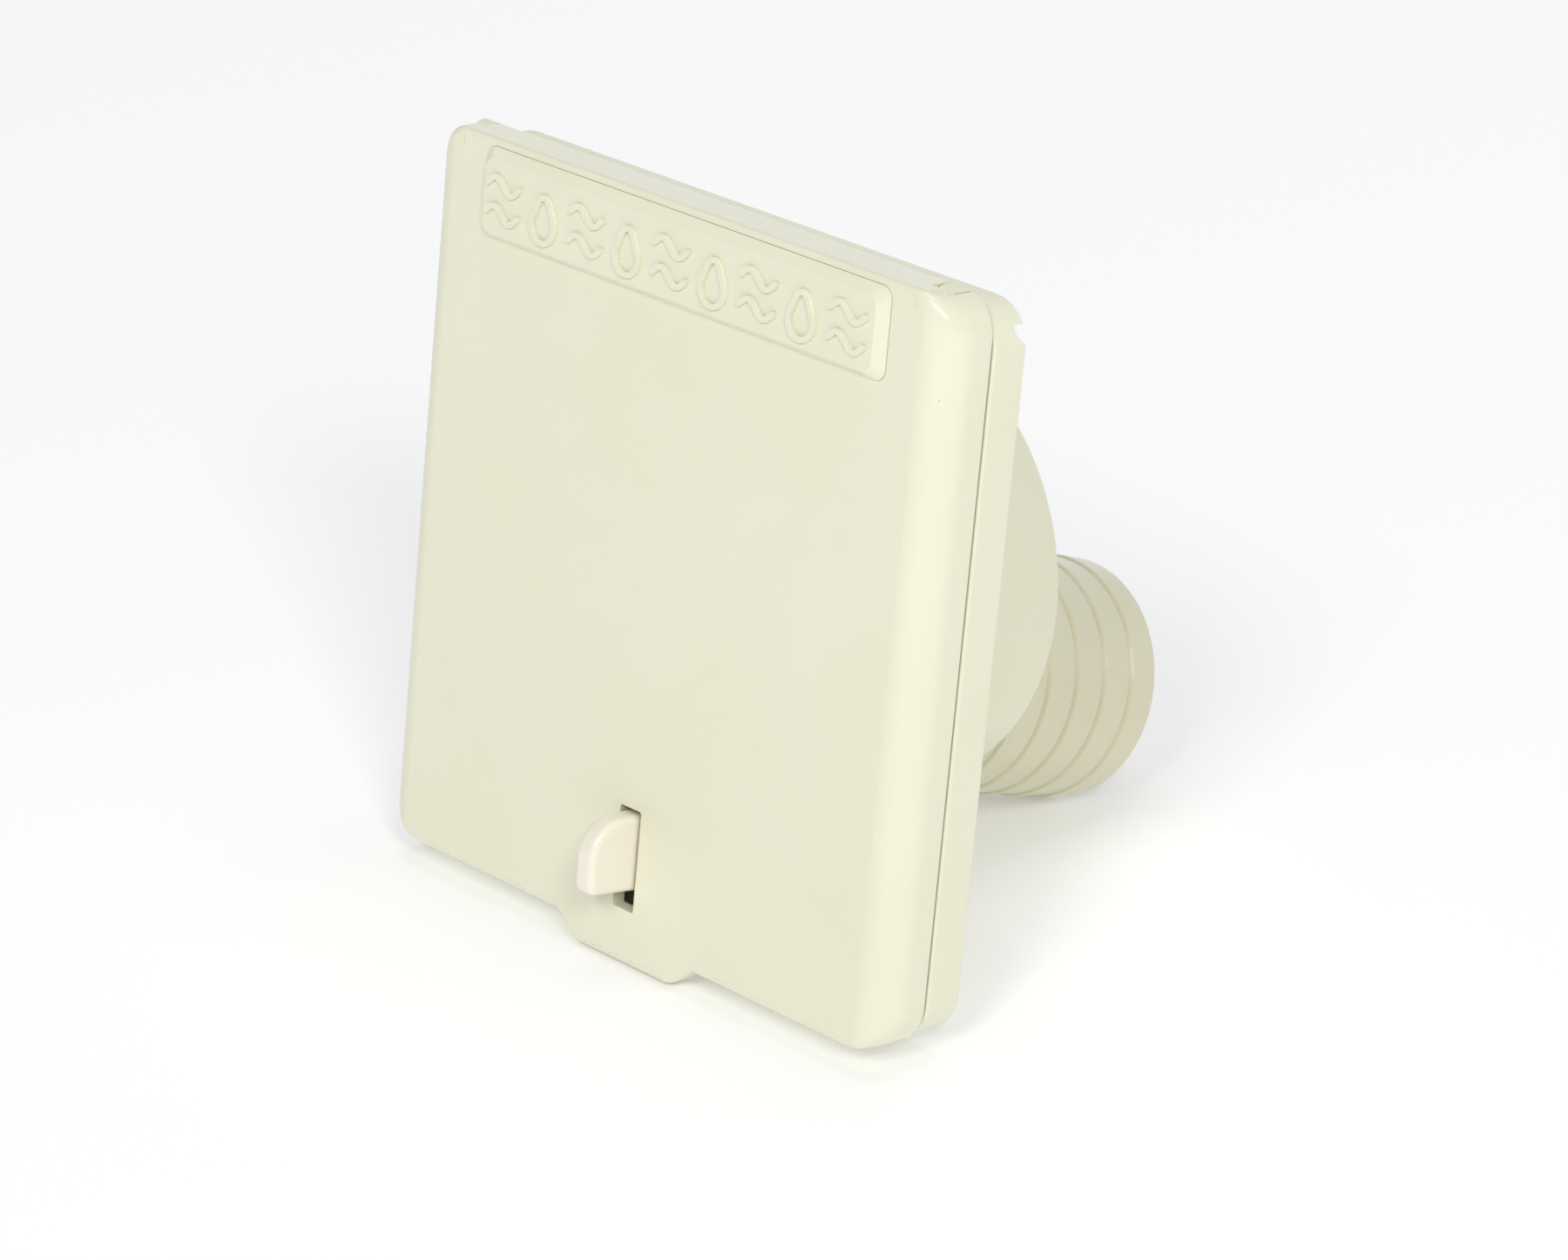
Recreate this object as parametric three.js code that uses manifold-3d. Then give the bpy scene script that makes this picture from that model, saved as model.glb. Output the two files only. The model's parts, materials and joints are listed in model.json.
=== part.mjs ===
// Gravity water-fill hatch: a square flange with a hinged, latched lid over a round dish
// that drains into a barbed hose spout. Millimetres. The origin is the centre of the
// flange's back plane, +X to the right, +Y into the wall, +Z up.

import * as THREE from "three";
import { mergeVertices } from "three/addons/utils/BufferGeometryUtils.js";
import Module from "manifold-3d";

const wasm = await Module();
wasm.setup();

// ---- driving dimensions ----

const GAP = 0.3;                 // clearance between pieces that touch or slide
const BITE = 0.5;                // how far a rib, boss or lug is sunk in the wall it stands on
const PAST = 1;                  // how far a cutting tool runs past the face it cuts
const FAR = 80;                  // reach of a cutting tool that clears the whole part
const ROUND_STEPS = 48;          // facets around a large circle
const SMALL_STEPS = 18;          // facets around a pin or a screw
const CORNER_STEPS = 6;          // facets around a quarter-round corner

const FLANGE = { width: 95, height: 94.4, depth: 5.55, corner: 5.5, plate: 2.2, skirt: 2 };
const BACK_NOTCH = { top: 44.65, bottom: 42, depth: 1.7 };
const SCREW_HOLE = { x: 39.8, z: 39.2, radius: 2.1, headRadius: 4, bossRadius: 4.2 };

const MOUTH = { radius: 26, z: -1.9, chord: -21.9, rim: 2, rimHeight: 1.5 };

const DISH = { outer: 29.6, wall: 2, back: 30, bondRadius: 33.5, bondWall: 2 };
const COLLAR = { thickness: 1.5, back: -1.4 };
const SPOUT = {
  tilt: THREE.MathUtils.degToRad(12.3), z: -17.7, length: 35.9, saddle: 16,
  outer: 16.4, band: 15.95, groove: 15.6, bore: 13.4, socket: 14.2, socketDepth: 10.6,
  barbs: 6, barbPitch: 5.47, lastBarb: 4.9, barbRise: 0.6, barbStep: 0.05, endRound: 0.8,
  socketLead: 0.5, start: -16,
};

const LID = {
  width: 95, top: 49.25, bottom: -48, front: -13.4, wall: 2, corner: 6.8,
  sideRound: 5, bottomRound: 1.6, topRound: 0.8, leastCorner: 1.5,
};
const OUTER_LEVELS = [0, 0.2, 0.7, 1.6, 3, 5];   // depths of the outer skin's rings
const INNER_LEVELS = [0, 0.6, 1.6, 3];           // depths of the inner skin's rings
const LIP = { flat: 8, root: 13.4, drop: 3.1, depth: 4, steps: 18 };

const HINGE = {
  radius: 2.2, pinRadius: 0.9, pinHole: 1.1, lugHole: 1.2,
  earInner: 41.5, earOuter: 44.5, lugInner: 38.2, lugOuter: 41, cheekInner: 45, cheekOuter: 46.9,
  pinInner: 38.6, pinOuter: 44.2, boreInner: 30,
};

const LABEL = { left: -36.4, right: 37.5, bottom: 36.5, top: 48.3, sunk: 0.5, proud: 1, corner: 1.6 };
const LABEL_BEVEL = { left: 0.9, right: 2.2, bottom: 0.7, top: 0.6, foot: 0.1 };

const SLOT = { half: 1.95, bottom: -43.5, top: -29.8 };
const SLIDER = { half: 6.2, plate: 1.5, top: -27.9, bottom: -39.6 };
const FIN = {
  half: 1.65, front: -20.9, rootTop: -30.4, rise: 0.1, rootBottom: -40.95, lift: 0.9, corner: 4.2, bevel: 0.7,
  sunk: 0.4, chamfer: 0.6,
};
const HOOK = { inner: 3.2, outer: 5.7, bottom: -42.2, top: -40.2, nose: -38.5, back: -0.85, chamfer: 0.6 };
const KEEPER = { bottom: -45, side: GAP };
const SPRING = { radius: 1.3, wire: 0.22, turns: 6, y: -7.85, steps: 10 };
const SEAT = { half: 1.9, bottom: -37.5, top: -34.5, back: -6.4 };
const RETAINER = { half: 11, bottom: -34, top: -28.6, thickness: 1.2, screwX: 9 };
const GUIDE_RIB = 1.2;           // thickness of the ribs beside the slider
const SCREW = {
  shank: 1, pilot: 1.3, head: 2, headHeight: 1, headGap: 0.2, sunk: 0.6, pilotSunk: 0.9, pilotLength: 5,
  recess: 0.6, recessHalf: 1.1, blade: 0.25,
};
const GASKET = { inner: 0.2, outer: 2.6, ribInner: -2.1, ribOuter: -0.4, ribHeight: 1.8 };

const PLUG = {
  radius: 13.8, front: -1, back: 9, wall: 2.4, post: 2.5, postEnd: -14.5, chamfer: 0.8, backChamfer: 1,
  cup: 9.4, screwHole: 1.6, screwDepth: 6,
};
const O_RING = { s: 5.2, radius: 13.05, wire: 0.85, grooveFloor: 12, grooveHalf: 1.1 };
const KNOB = {
  radius: 6, height: 5, stub: 1.3, stubLength: 5, chamfer: 1, backChamfer: 0.6,
  flutes: 8, fluteRadius: 1.1, fluteOut: 0.45, fluteSteps: 8,
};
const TETHER = {
  width: 5, thickness: 1.2, eyeOuter: 5.2, eyeInner: 3.1, eyeGap: 0.4, anchorZ: 13, pinEye: 2.1,
  rise: 13, drop: 13, lowerOverlap: 0.8, upperOverlap: 0.6, steps: 14,
};
const ANCHOR = {
  bossRadius: 4, bossHeight: 2.4, shank: 1.5, hole: 1.8, head: 3.2, headHeight: 1.2, headChamfer: 0.5,
  skin: 1,
};

// ---- worked-out places ----

const flangeFront = -FLANGE.depth;
const plateBack = flangeFront + FLANGE.plate;
const lidBack = flangeFront - GAP;
const lidInside = LID.front + LID.wall;
const hingeY = lidBack - HINGE.radius;
const hingeZ = LID.top - HINGE.radius;
const sliderFront = lidInside + GAP;
const sliderBack = sliderFront + SLIDER.plate;
const dishInner = DISH.outer - DISH.wall;
const dishFloor = DISH.back - DISH.wall;

// ---- solids ----

// A closed geometry as a solid with shared vertices and outward faces.
function solid(geometry) {
  const bare = new THREE.BufferGeometry();
  bare.setAttribute("position", geometry.getAttribute("position").clone());
  if (geometry.index) bare.setIndex(geometry.index.clone());
  const merged = mergeVertices(bare, 1e-4);
  const points = merged.getAttribute("position");
  const triangles = [];
  let volume = 0;
  const [a, b, c] = [new THREE.Vector3(), new THREE.Vector3(), new THREE.Vector3()];
  for (let i = 0; i < merged.index.count; i += 3) {
    const corners = [0, 1, 2].map((k) => merged.index.getX(i + k));
    if (new Set(corners).size < 3) continue;
    a.fromBufferAttribute(points, corners[0]);
    b.fromBufferAttribute(points, corners[1]);
    c.fromBufferAttribute(points, corners[2]);
    volume += a.dot(b.cross(c));
    triangles.push(corners);
  }
  const outward = volume > 0 ? triangles : triangles.map(([p, q, r]) => [p, r, q]);
  const mesh = new wasm.Mesh({
    numProp: 3,
    vertProperties: new Float32Array(points.array),
    triVerts: new Uint32Array(outward.flat()),
  });
  return new wasm.Manifold(mesh);
}

function join(first, ...others) {
  return others.reduce((whole, piece) => whole.add(piece), first);
}

function cut(body, ...tools) {
  return tools.reduce((rest, tool) => rest.subtract(tool), body);
}

function geometryOf(body) {
  const { vertProperties, triVerts } = body.getMesh();
  const geometry = new THREE.BufferGeometry();
  geometry.setAttribute("position", new THREE.BufferAttribute(new Float32Array(vertProperties), 3));
  geometry.setIndex(new THREE.BufferAttribute(new Uint32Array(triVerts), 1));
  geometry.computeVertexNormals();
  return geometry;
}

// The x range from inner to outer on the right side, or its mirror on the left.
function span(side, inner, outer) {
  return side > 0 ? [inner, outer] : [-outer, -inner];
}

function box(x0, x1, y0, y1, z0, z1) {
  const geometry = new THREE.BoxGeometry(x1 - x0, y1 - y0, z1 - z0);
  geometry.translate((x0 + x1) / 2, (y0 + y1) / 2, (z0 + z1) / 2);
  return solid(geometry);
}

// An outline drawn in (x, z), pulled from y0 back to y1.
function alongY(shape, y0, y1, curveSegments = CORNER_STEPS) {
  const geometry = new THREE.ExtrudeGeometry(shape, { depth: y1 - y0, bevelEnabled: false, curveSegments });
  geometry.rotateX(Math.PI / 2);
  geometry.translate(0, y1, 0);
  return solid(geometry);
}

// An outline drawn in (y, z), pulled from x0 to x1.
function alongX(shape, x0, x1, options = { bevelEnabled: false }) {
  const depth = x1 - x0 - 2 * (options.bevelThickness ?? 0);
  const geometry = new THREE.ExtrudeGeometry(shape, { depth, curveSegments: CORNER_STEPS, ...options });
  geometry.rotateY(Math.PI / 2);
  geometry.rotateX(Math.PI / 2);
  geometry.translate(x0 + (options.bevelThickness ?? 0), 0, 0);
  return solid(geometry);
}

// A profile of (radius, y) points turned about the Y axis.
function turned(points, steps = ROUND_STEPS) {
  const profile = points.map(([radius, y]) => new THREE.Vector2(radius, y));
  profile.push(profile[0].clone());
  return solid(new THREE.LatheGeometry(profile, steps));
}

function rod(radius, y0, y1, steps = ROUND_STEPS) {
  return turned([[0, y0], [radius, y0], [radius, y1], [0, y1]], steps);
}

function tube(outer, inner, y0, y1, steps = ROUND_STEPS) {
  return turned([[inner, y0], [outer, y0], [outer, y1], [inner, y1]], steps);
}

function rodAlongX(radius, x0, x1, y, z) {
  return rod(radius, x0, x1, SMALL_STEPS).rotate([0, 0, -90]).translate([0, y, z]);
}

function roundedRect(width, height, radius) {
  const [w, h, r] = [width / 2, height / 2, radius];
  const shape = new THREE.Shape();
  shape.moveTo(w, -h + r);
  shape.lineTo(w, h - r);
  shape.absarc(w - r, h - r, r, 0, Math.PI / 2);
  shape.absarc(-w + r, h - r, r, Math.PI / 2, Math.PI);
  shape.absarc(-w + r, -h + r, r, Math.PI, 1.5 * Math.PI);
  shape.absarc(w - r, -h + r, r, 1.5 * Math.PI, 2 * Math.PI);
  return shape;
}

// Skins a stack of rings with the same number of points and caps both ends.
function loft(rings) {
  const count = rings[0].length;
  const vertices = rings.flat().flatMap((point) => point.toArray());
  const index = [];
  for (let level = 0; level + 1 < rings.length; level += 1) {
    for (let i = 0; i < count; i += 1) {
      const [a, b] = [level * count + i, level * count + ((i + 1) % count)];
      index.push(a, b, b + count, a, b + count, a + count);
    }
  }
  const caps = THREE.ShapeUtils.triangulateShape(rings[0].map((p) => new THREE.Vector2(p.x, p.z)), []);
  const last = (rings.length - 1) * count;
  for (const [a, b, c] of caps) {
    index.push(a, c, b, last + a, last + b, last + c);
  }
  const geometry = new THREE.BufferGeometry();
  geometry.setAttribute("position", new THREE.Float32BufferAttribute(vertices, 3));
  geometry.setIndex(index);
  return solid(geometry);
}

// ---- the spout's own axis ----

// Turns a piece made about the Y axis onto the spout's axis, which leaves the rear wall
// of the dish at height SPOUT.z and falls away at SPOUT.tilt.
function onSpoutAxis(piece) {
  const degrees = THREE.MathUtils.radToDeg(SPOUT.tilt);
  return piece.rotate([-degrees, 0, 0]).translate([0, DISH.back, SPOUT.z]);
}

function spoutPoint(s) {
  return new THREE.Vector3(0, DISH.back + s * Math.cos(SPOUT.tilt), SPOUT.z - s * Math.sin(SPOUT.tilt));
}

// ---- frame pieces ----

// The fill mouth: a circle with a flat chord at the bottom, grown by a margin.
function mouthPrism(margin, y0, y1) {
  const radius = MOUTH.radius + margin;
  const round = rod(radius, y0, y1).translate([0, 0, MOUTH.z]);
  const [low, high] = [MOUTH.chord - margin, MOUTH.z + radius + PAST];
  return round.intersect(box(-radius, radius, y0 - PAST, y1 + PAST, low, high));
}

function mouthRing(outer, inner, y0, y1) {
  return cut(mouthPrism(outer, y0, y1), mouthPrism(inner, y0 - PAST, y1 + PAST));
}

function hingeEar(side) {
  const profile = new THREE.Shape();
  const root = flangeFront + 2 * BITE;
  profile.moveTo(root, hingeZ - HINGE.radius);
  profile.lineTo(hingeY, hingeZ - HINGE.radius);
  profile.absarc(hingeY, hingeZ, HINGE.radius, 1.5 * Math.PI, 0, true);
  profile.lineTo(root, hingeZ);
  return alongX(profile, ...span(side, HINGE.earInner, HINGE.earOuter));
}

function mountingFrame() {
  const { width, height, corner, skirt } = FLANGE;
  let body = alongY(roundedRect(width, height, corner), flangeFront, 0);
  const hollow = roundedRect(width - 2 * skirt, height - 2 * skirt, corner - skirt);
  body = cut(body, alongY(hollow, plateBack, PAST));
  const collarInner = DISH.bondRadius + GAP;
  const collar = tube(collarInner + COLLAR.thickness, collarInner, plateBack - BITE, COLLAR.back);
  const rim = mouthPrism(MOUTH.rim, flangeFront - MOUTH.rimHeight, plateBack);
  body = join(body, collar.translate([0, 0, MOUTH.z]), rim);
  body = cut(body, mouthPrism(0, flangeFront - MOUTH.rimHeight - PAST, PAST));
  for (const side of [-1, 1]) {
    body = join(body, hingeEar(side), screwBoss(side, -1), screwBoss(side, 1));
    const [x0, x1] = span(side, HINGE.earInner - PAST, HINGE.earOuter + PAST);
    const pinHole = rodAlongX(HINGE.pinHole, x0, x1, hingeY, hingeZ);
    body = cut(body, screwHole(side, -1), screwHole(side, 1), pinHole, keeperSlot(side), backNotch(side));
  }
  return body;
}

function screwBoss(side, end) {
  const boss = rod(SCREW_HOLE.bossRadius, plateBack - BITE, 0, SMALL_STEPS);
  return boss.translate([side * SCREW_HOLE.x, 0, end * SCREW_HOLE.z]);
}

function screwHole(side, end) {
  const { radius, headRadius } = SCREW_HOLE;
  const sunk = flangeFront + headRadius - radius;
  const above = flangeFront - PAST;
  const hole = turned([
    [0, above], [headRadius, above], [headRadius, flangeFront], [radius, sunk], [radius, PAST], [0, PAST],
  ], SMALL_STEPS);
  return hole.translate([side * SCREW_HOLE.x, 0, end * SCREW_HOLE.z]);
}

// The opening that a hook of the latch enters, taller behind the plate so that its nose can catch.
function keeperSlot(side) {
  const [x0, x1] = span(side, HOOK.inner - KEEPER.side, HOOK.outer + KEEPER.side);
  const entry = box(x0, x1, flangeFront - PAST, plateBack + PAST, KEEPER.bottom, HOOK.top + GAP);
  return entry.add(box(x0, x1, plateBack, PAST, KEEPER.bottom, HOOK.nose + GAP));
}

// A bite out of the skirt's back edge near the top, square above and slanted below.
function backNotch(side) {
  const { top, bottom, depth } = BACK_NOTCH;
  const shape = new THREE.Shape();
  shape.moveTo(-depth, top);
  shape.lineTo(PAST, top);
  shape.lineTo(PAST, bottom - PAST);
  shape.lineTo(-depth, bottom + depth);
  const edge = FLANGE.width / 2;
  return alongX(shape, ...span(side, edge - FLANGE.skirt - PAST, edge + PAST));
}

function fillDish() {
  const front = plateBack + GAP;
  let dish = turned([
    [0, dishFloor], [dishInner, dishFloor], [dishInner, front], [DISH.bondRadius, front],
    [DISH.bondRadius, front + DISH.bondWall], [DISH.outer, front + DISH.bondWall],
    [DISH.outer, DISH.back], [0, DISH.back],
  ]).translate([0, 0, MOUTH.z]);
  const boss = rod(ANCHOR.bossRadius, dishFloor - ANCHOR.bossHeight, dishFloor + BITE, SMALL_STEPS);
  const hole = rod(ANCHOR.hole, 0, DISH.back - ANCHOR.skin, SMALL_STEPS);
  dish = join(dish, boss.translate([0, 0, TETHER.anchorZ]));
  dish = cut(dish, hole.translate([0, 0, TETHER.anchorZ]));
  const path = onSpoutAxis(rod(SPOUT.outer + GAP, SPOUT.start - PAST, SPOUT.socketDepth));
  return cut(dish, cut(path, beforeSaddle(GAP)));
}

// Everything in front of the plane where the spout's tube starts in the dish's lower wall.
function beforeSaddle(margin) {
  return box(-FAR, FAR, -FAR, SPOUT.saddle - margin, -FAR, FAR);
}

// The spout runs on through the dish's rear wall as a saddle that closes the dish's lower side.
function hoseSpout() {
  const { outer, band, groove, bore, socket, socketDepth, socketLead, start, length, endRound } = SPOUT;
  const { barbs, barbPitch, barbRise, barbStep, lastBarb } = SPOUT;
  const profile = [[bore, socketDepth], [socket, socketDepth - socketLead], [socket, start], [outer, start]];
  let before = outer;
  for (let i = barbs - 1; i >= 0; i -= 1) {
    const s = length - lastBarb - i * barbPitch;
    profile.push([before, s - barbRise - barbStep], [groove, s - barbRise], [outer, s]);
    before = band;
  }
  profile.push([band, length - endRound], [band - endRound, length], [bore, length]);
  const spout = onSpoutAxis(turned(profile));
  const dishSpace = rod(dishInner, -FAR, dishFloor).translate([0, 0, MOUTH.z]);
  const insideDish = box(-FAR, FAR, -FAR, dishFloor, MOUTH.z, FAR);
  return cut(spout, beforeSaddle(0), dishSpace, insideDish);
}

// ---- lid pieces ----

// How far an edge rounded with the given radius stands back at a depth behind the front.
function roundInset(radius, depth) {
  if (depth >= radius) return 0;
  return radius - Math.sqrt(radius * radius - (radius - depth) ** 2);
}

// The drop of the finger lip below the lid's bottom edge, as a smooth step at each end.
function lipDrop(x) {
  const t = THREE.MathUtils.clamp((LIP.root - Math.abs(x)) / (LIP.root - LIP.flat), 0, 1);
  return LIP.drop * t * t * (3 - 2 * t);
}

function lidRing(y, inset, lip) {
  const depth = y - LID.front;
  const side = inset + roundInset(LID.sideRound - inset, depth - inset);
  const low = LID.bottom + inset + roundInset(LID.bottomRound, depth - inset);
  const high = LID.top - inset - roundInset(LID.topRound, depth - inset);
  const half = LID.width / 2 - side;
  const radius = Math.max(LID.corner - side, LID.leastCorner);
  const points = [];
  const corner = (cx, cz, from) => {
    for (let i = 0; i <= CORNER_STEPS; i += 1) {
      const angle = from + (i / CORNER_STEPS) * Math.PI / 2;
      points.push(new THREE.Vector3(cx + radius * Math.cos(angle), y, cz + radius * Math.sin(angle)));
    }
  };
  corner(half - radius, high - radius, 0);
  corner(-half + radius, high - radius, Math.PI / 2);
  corner(-half + radius, low + radius, Math.PI);
  for (let i = 0; i <= LIP.steps; i += 1) {
    const x = LIP.root * (2 * i / LIP.steps - 1);
    points.push(new THREE.Vector3(x, y, low - (lip ? lipDrop(x) : 0)));
  }
  corner(half - radius, low + radius, 1.5 * Math.PI);
  return points;
}

function hingeLug(x0, x1) {
  const shape = new THREE.Shape();
  shape.moveTo(lidInside - BITE, LID.top - BITE);
  shape.lineTo(lidInside - BITE, hingeZ - HINGE.radius);
  shape.lineTo(hingeY, hingeZ - HINGE.radius);
  shape.absarc(hingeY, hingeZ, HINGE.radius, -Math.PI / 2, Math.PI / 2);
  return alongX(shape, x0, x1);
}

function lidShell() {
  const outerLevels = [...OUTER_LEVELS.map((depth) => LID.front + depth), lidBack];
  const innerLevels = [...INNER_LEVELS.map((depth) => lidInside + depth), lidBack + PAST];
  const outer = loft(outerLevels.map((y) => lidRing(y, 0, true)));
  const behindLip = box(-FAR, FAR, LID.front + LIP.depth, 0, -FAR, LID.bottom);
  let body = cut(outer, loft(innerLevels.map((y) => lidRing(y, LID.wall, false))), behindLip);
  const ribBack = lidInside + GASKET.ribHeight;
  body = join(body, mouthRing(GASKET.ribOuter, GASKET.ribInner, lidInside - BITE, ribBack));
  for (const side of [-1, 1]) {
    const lug = hingeLug(...span(side, HINGE.lugInner, HINGE.lugOuter));
    const cheek = hingeLug(...span(side, HINGE.cheekInner, HINGE.cheekOuter));
    body = join(body, lug.intersect(outer), cheek.intersect(outer), screwPad(side), guideRib(side));
  }
  const roundedHinge = cut(
    box(-FAR, FAR, hingeY, 0, hingeZ, LID.top + PAST),
    rodAlongX(HINGE.radius, -FAR - PAST, FAR + PAST, hingeY, hingeZ),
  );
  body = cut(
    body,
    box(-SLOT.half, SLOT.half, LID.front - PAST, lidInside + PAST, SLOT.bottom, SLOT.top),
    labelPrism(GAP, LID.front - PAST, LID.front + LABEL.sunk + GAP),
    roundedHinge,
  );
  for (const side of [-1, 1]) {
    body = cut(body, earSpace(side), pilotHole(side));
  }
  return body;
}

// The pad that a screw of the retainer is driven into.
function screwPad(side) {
  const [x0, x1] = span(side, SLIDER.half + GAP, RETAINER.screwX + SCREW.head);
  const back = lidInside + SLIDER.plate + GAP;
  return box(x0, x1, lidInside - BITE, back, RETAINER.bottom, RETAINER.top);
}

function guideRib(side) {
  const [x0, x1] = span(side, SLIDER.half + GAP, SLIDER.half + GAP + GUIDE_RIB);
  const back = lidInside + SLIDER.plate + GAP;
  return box(x0, x1, lidInside - BITE, back, SLOT.bottom, RETAINER.bottom + BITE);
}

// Room for one of the flange's ears, with the pin's bore in the lug beside it.
function earSpace(side) {
  const [x0, x1] = span(side, HINGE.earInner - GAP, HINGE.earOuter + GAP);
  const reach = HINGE.radius + GAP;
  const room = box(x0, x1, hingeY - reach, 0, hingeZ - reach, LID.top + PAST);
  return room.add(rodAlongX(HINGE.lugHole, ...span(side, HINGE.boreInner, HINGE.earInner), hingeY, hingeZ));
}

function pilotHole(side) {
  const pilot = rod(SCREW.pilot, lidInside - SCREW.pilotSunk, lidInside + SCREW.pilotLength, SMALL_STEPS);
  return pilot.translate([side * RETAINER.screwX, 0, (RETAINER.bottom + RETAINER.top) / 2]);
}

function labelRing(y, left, right, low, high) {
  const points = [];
  const { corner } = LABEL;
  const add = (cx, cz, from) => {
    for (let i = 0; i <= CORNER_STEPS; i += 1) {
      const angle = from + (i / CORNER_STEPS) * Math.PI / 2;
      points.push(new THREE.Vector3(cx + corner * Math.cos(angle), y, cz + corner * Math.sin(angle)));
    }
  };
  add(right - corner, high - corner, 0);
  add(left + corner, high - corner, Math.PI / 2);
  add(left + corner, low + corner, Math.PI);
  add(right - corner, low + corner, 1.5 * Math.PI);
  return points;
}

function labelPrism(margin, y0, y1) {
  const { left, right, bottom, top } = LABEL;
  const sides = [left - margin, right + margin, bottom - margin, top + margin];
  return loft([labelRing(y0, ...sides), labelRing(y1, ...sides)]);
}

function labelPlate() {
  const { left, right, bottom, top, sunk, proud } = LABEL;
  const bevel = LABEL_BEVEL;
  const face = [left + bevel.left, right - bevel.right, bottom + bevel.bottom, top - bevel.top];
  return loft([
    labelRing(LID.front - proud, ...face),
    labelRing(LID.front - bevel.foot, left, right, bottom, top),
    labelRing(LID.front + sunk, left, right, bottom, top),
  ]);
}

function lidGasket() {
  return mouthRing(GASKET.outer, GASKET.inner, lidInside + GAP, flangeFront - MOUTH.rimHeight - GAP);
}

function hingePin(side) {
  return rodAlongX(HINGE.pinRadius, ...span(side, HINGE.pinInner, HINGE.pinOuter), hingeY, hingeZ);
}

// ---- latch pieces ----

function thumbFin() {
  const { half, front, rootTop, rise, rootBottom, lift, corner, bevel, sunk, chamfer } = FIN;
  const root = sliderFront + sunk;
  const tip = front + bevel;
  const crest = rootTop + rise - bevel;
  const foot = rootBottom + lift + bevel;
  const shape = new THREE.Shape();
  shape.moveTo(root, rootTop - bevel);
  shape.lineTo(tip + corner, crest);
  shape.absarc(tip + corner, crest - corner, corner, Math.PI / 2, Math.PI);
  shape.lineTo(tip, foot + chamfer);
  shape.lineTo(tip + chamfer, foot);
  shape.lineTo(root, rootBottom + bevel);
  const options = { bevelEnabled: true, bevelThickness: bevel, bevelSize: bevel, bevelSegments: 2 };
  return alongX(shape, -half, half, options);
}

function hookProfile() {
  const { bottom, top, nose, back, chamfer } = HOOK;
  const catchFace = plateBack + GAP;
  const shape = new THREE.Shape();
  shape.moveTo(sliderBack - BITE, bottom);
  shape.lineTo(back, bottom);
  shape.lineTo(back, top - chamfer);
  shape.lineTo(catchFace + chamfer, nose);
  shape.lineTo(catchFace, nose);
  shape.lineTo(catchFace, top);
  shape.lineTo(sliderBack - BITE, top);
  return shape;
}

function latchSlider() {
  const { half, top, bottom } = SLIDER;
  let body = box(-half, half, sliderFront, sliderBack, bottom, top);
  for (const side of [-1, 1]) {
    const [x0, x1] = span(side, HOOK.inner, HOOK.outer);
    body = join(body, box(x0, x1, sliderFront, sliderBack, HOOK.bottom, bottom + BITE));
    body = join(body, alongX(hookProfile(), x0, x1));
  }
  body = join(body, box(-SEAT.half, SEAT.half, sliderBack - BITE, SEAT.back, SEAT.bottom, SEAT.top));
  return join(body, thumbFin());
}

// The coil that lifts the slider, standing on the lid's bottom wall.
function latchSpring() {
  const { radius, wire, turns, y, steps } = SPRING;
  const low = LID.bottom + LID.wall + GAP + wire;
  const high = SEAT.bottom - GAP - wire;
  class Coil extends THREE.Curve {
    getPoint(t, target = new THREE.Vector3()) {
      const angle = 2 * Math.PI * turns * t;
      return target.set(radius * Math.cos(angle), y + radius * Math.sin(angle), low + (high - low) * t);
    }
  }
  const section = new THREE.Shape().absarc(0, 0, wire, 0, 2 * Math.PI);
  const path = { extrudePath: new Coil(), steps: turns * steps, curveSegments: 3 };
  return solid(new THREE.ExtrudeGeometry(section, path));
}

function latchRetainer() {
  const { half, bottom, top, thickness, screwX } = RETAINER;
  const front = sliderBack + GAP;
  let body = box(-half, half, front, front + thickness, bottom, top);
  for (const sx of [-1, 1]) {
    const hole = rod(SCREW.pilot, front - PAST, front + thickness + PAST, SMALL_STEPS);
    body = cut(body, hole.translate([sx * screwX, 0, (bottom + top) / 2]));
  }
  return body;
}

function retainerScrew(side) {
  const { bottom, top, thickness, screwX } = RETAINER;
  const { shank, head, headHeight, headGap, sunk, recess, recessHalf, blade } = SCREW;
  const seat = sliderBack + GAP + thickness + headGap;
  const tip = lidInside - sunk;
  const end = seat + headHeight;
  const profile = [[0, tip], [shank, tip], [shank, seat], [head, seat], [head, end], [0, end]];
  let screw = turned(profile, SMALL_STEPS);
  for (const turn of [0, 90]) {
    const slot = box(-recessHalf, recessHalf, end - recess, end + PAST, -blade, blade);
    screw = cut(screw, slot.rotate([0, turn, 0]));
  }
  return screw.translate([side * screwX, 0, (bottom + top) / 2]);
}

// ---- plug pieces ----

function fillPlug() {
  const { radius, front, back, wall, post, postEnd, chamfer, backChamfer, cup } = PLUG;
  const { s, grooveFloor, grooveHalf } = O_RING;
  const profile = [
    [0, postEnd], [post, postEnd], [post, front], [radius - chamfer, front], [radius, front + chamfer],
    [radius, s - grooveHalf], [grooveFloor, s - grooveHalf], [grooveFloor, s + grooveHalf],
    [radius, s + grooveHalf], [radius, back - backChamfer], [radius - backChamfer, back],
    [cup, back], [cup, front + wall], [0, front + wall],
  ];
  const stubHole = rod(PLUG.screwHole, postEnd - PAST, postEnd + PLUG.screwDepth, SMALL_STEPS);
  return onSpoutAxis(cut(turned(profile), stubHole));
}

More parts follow.
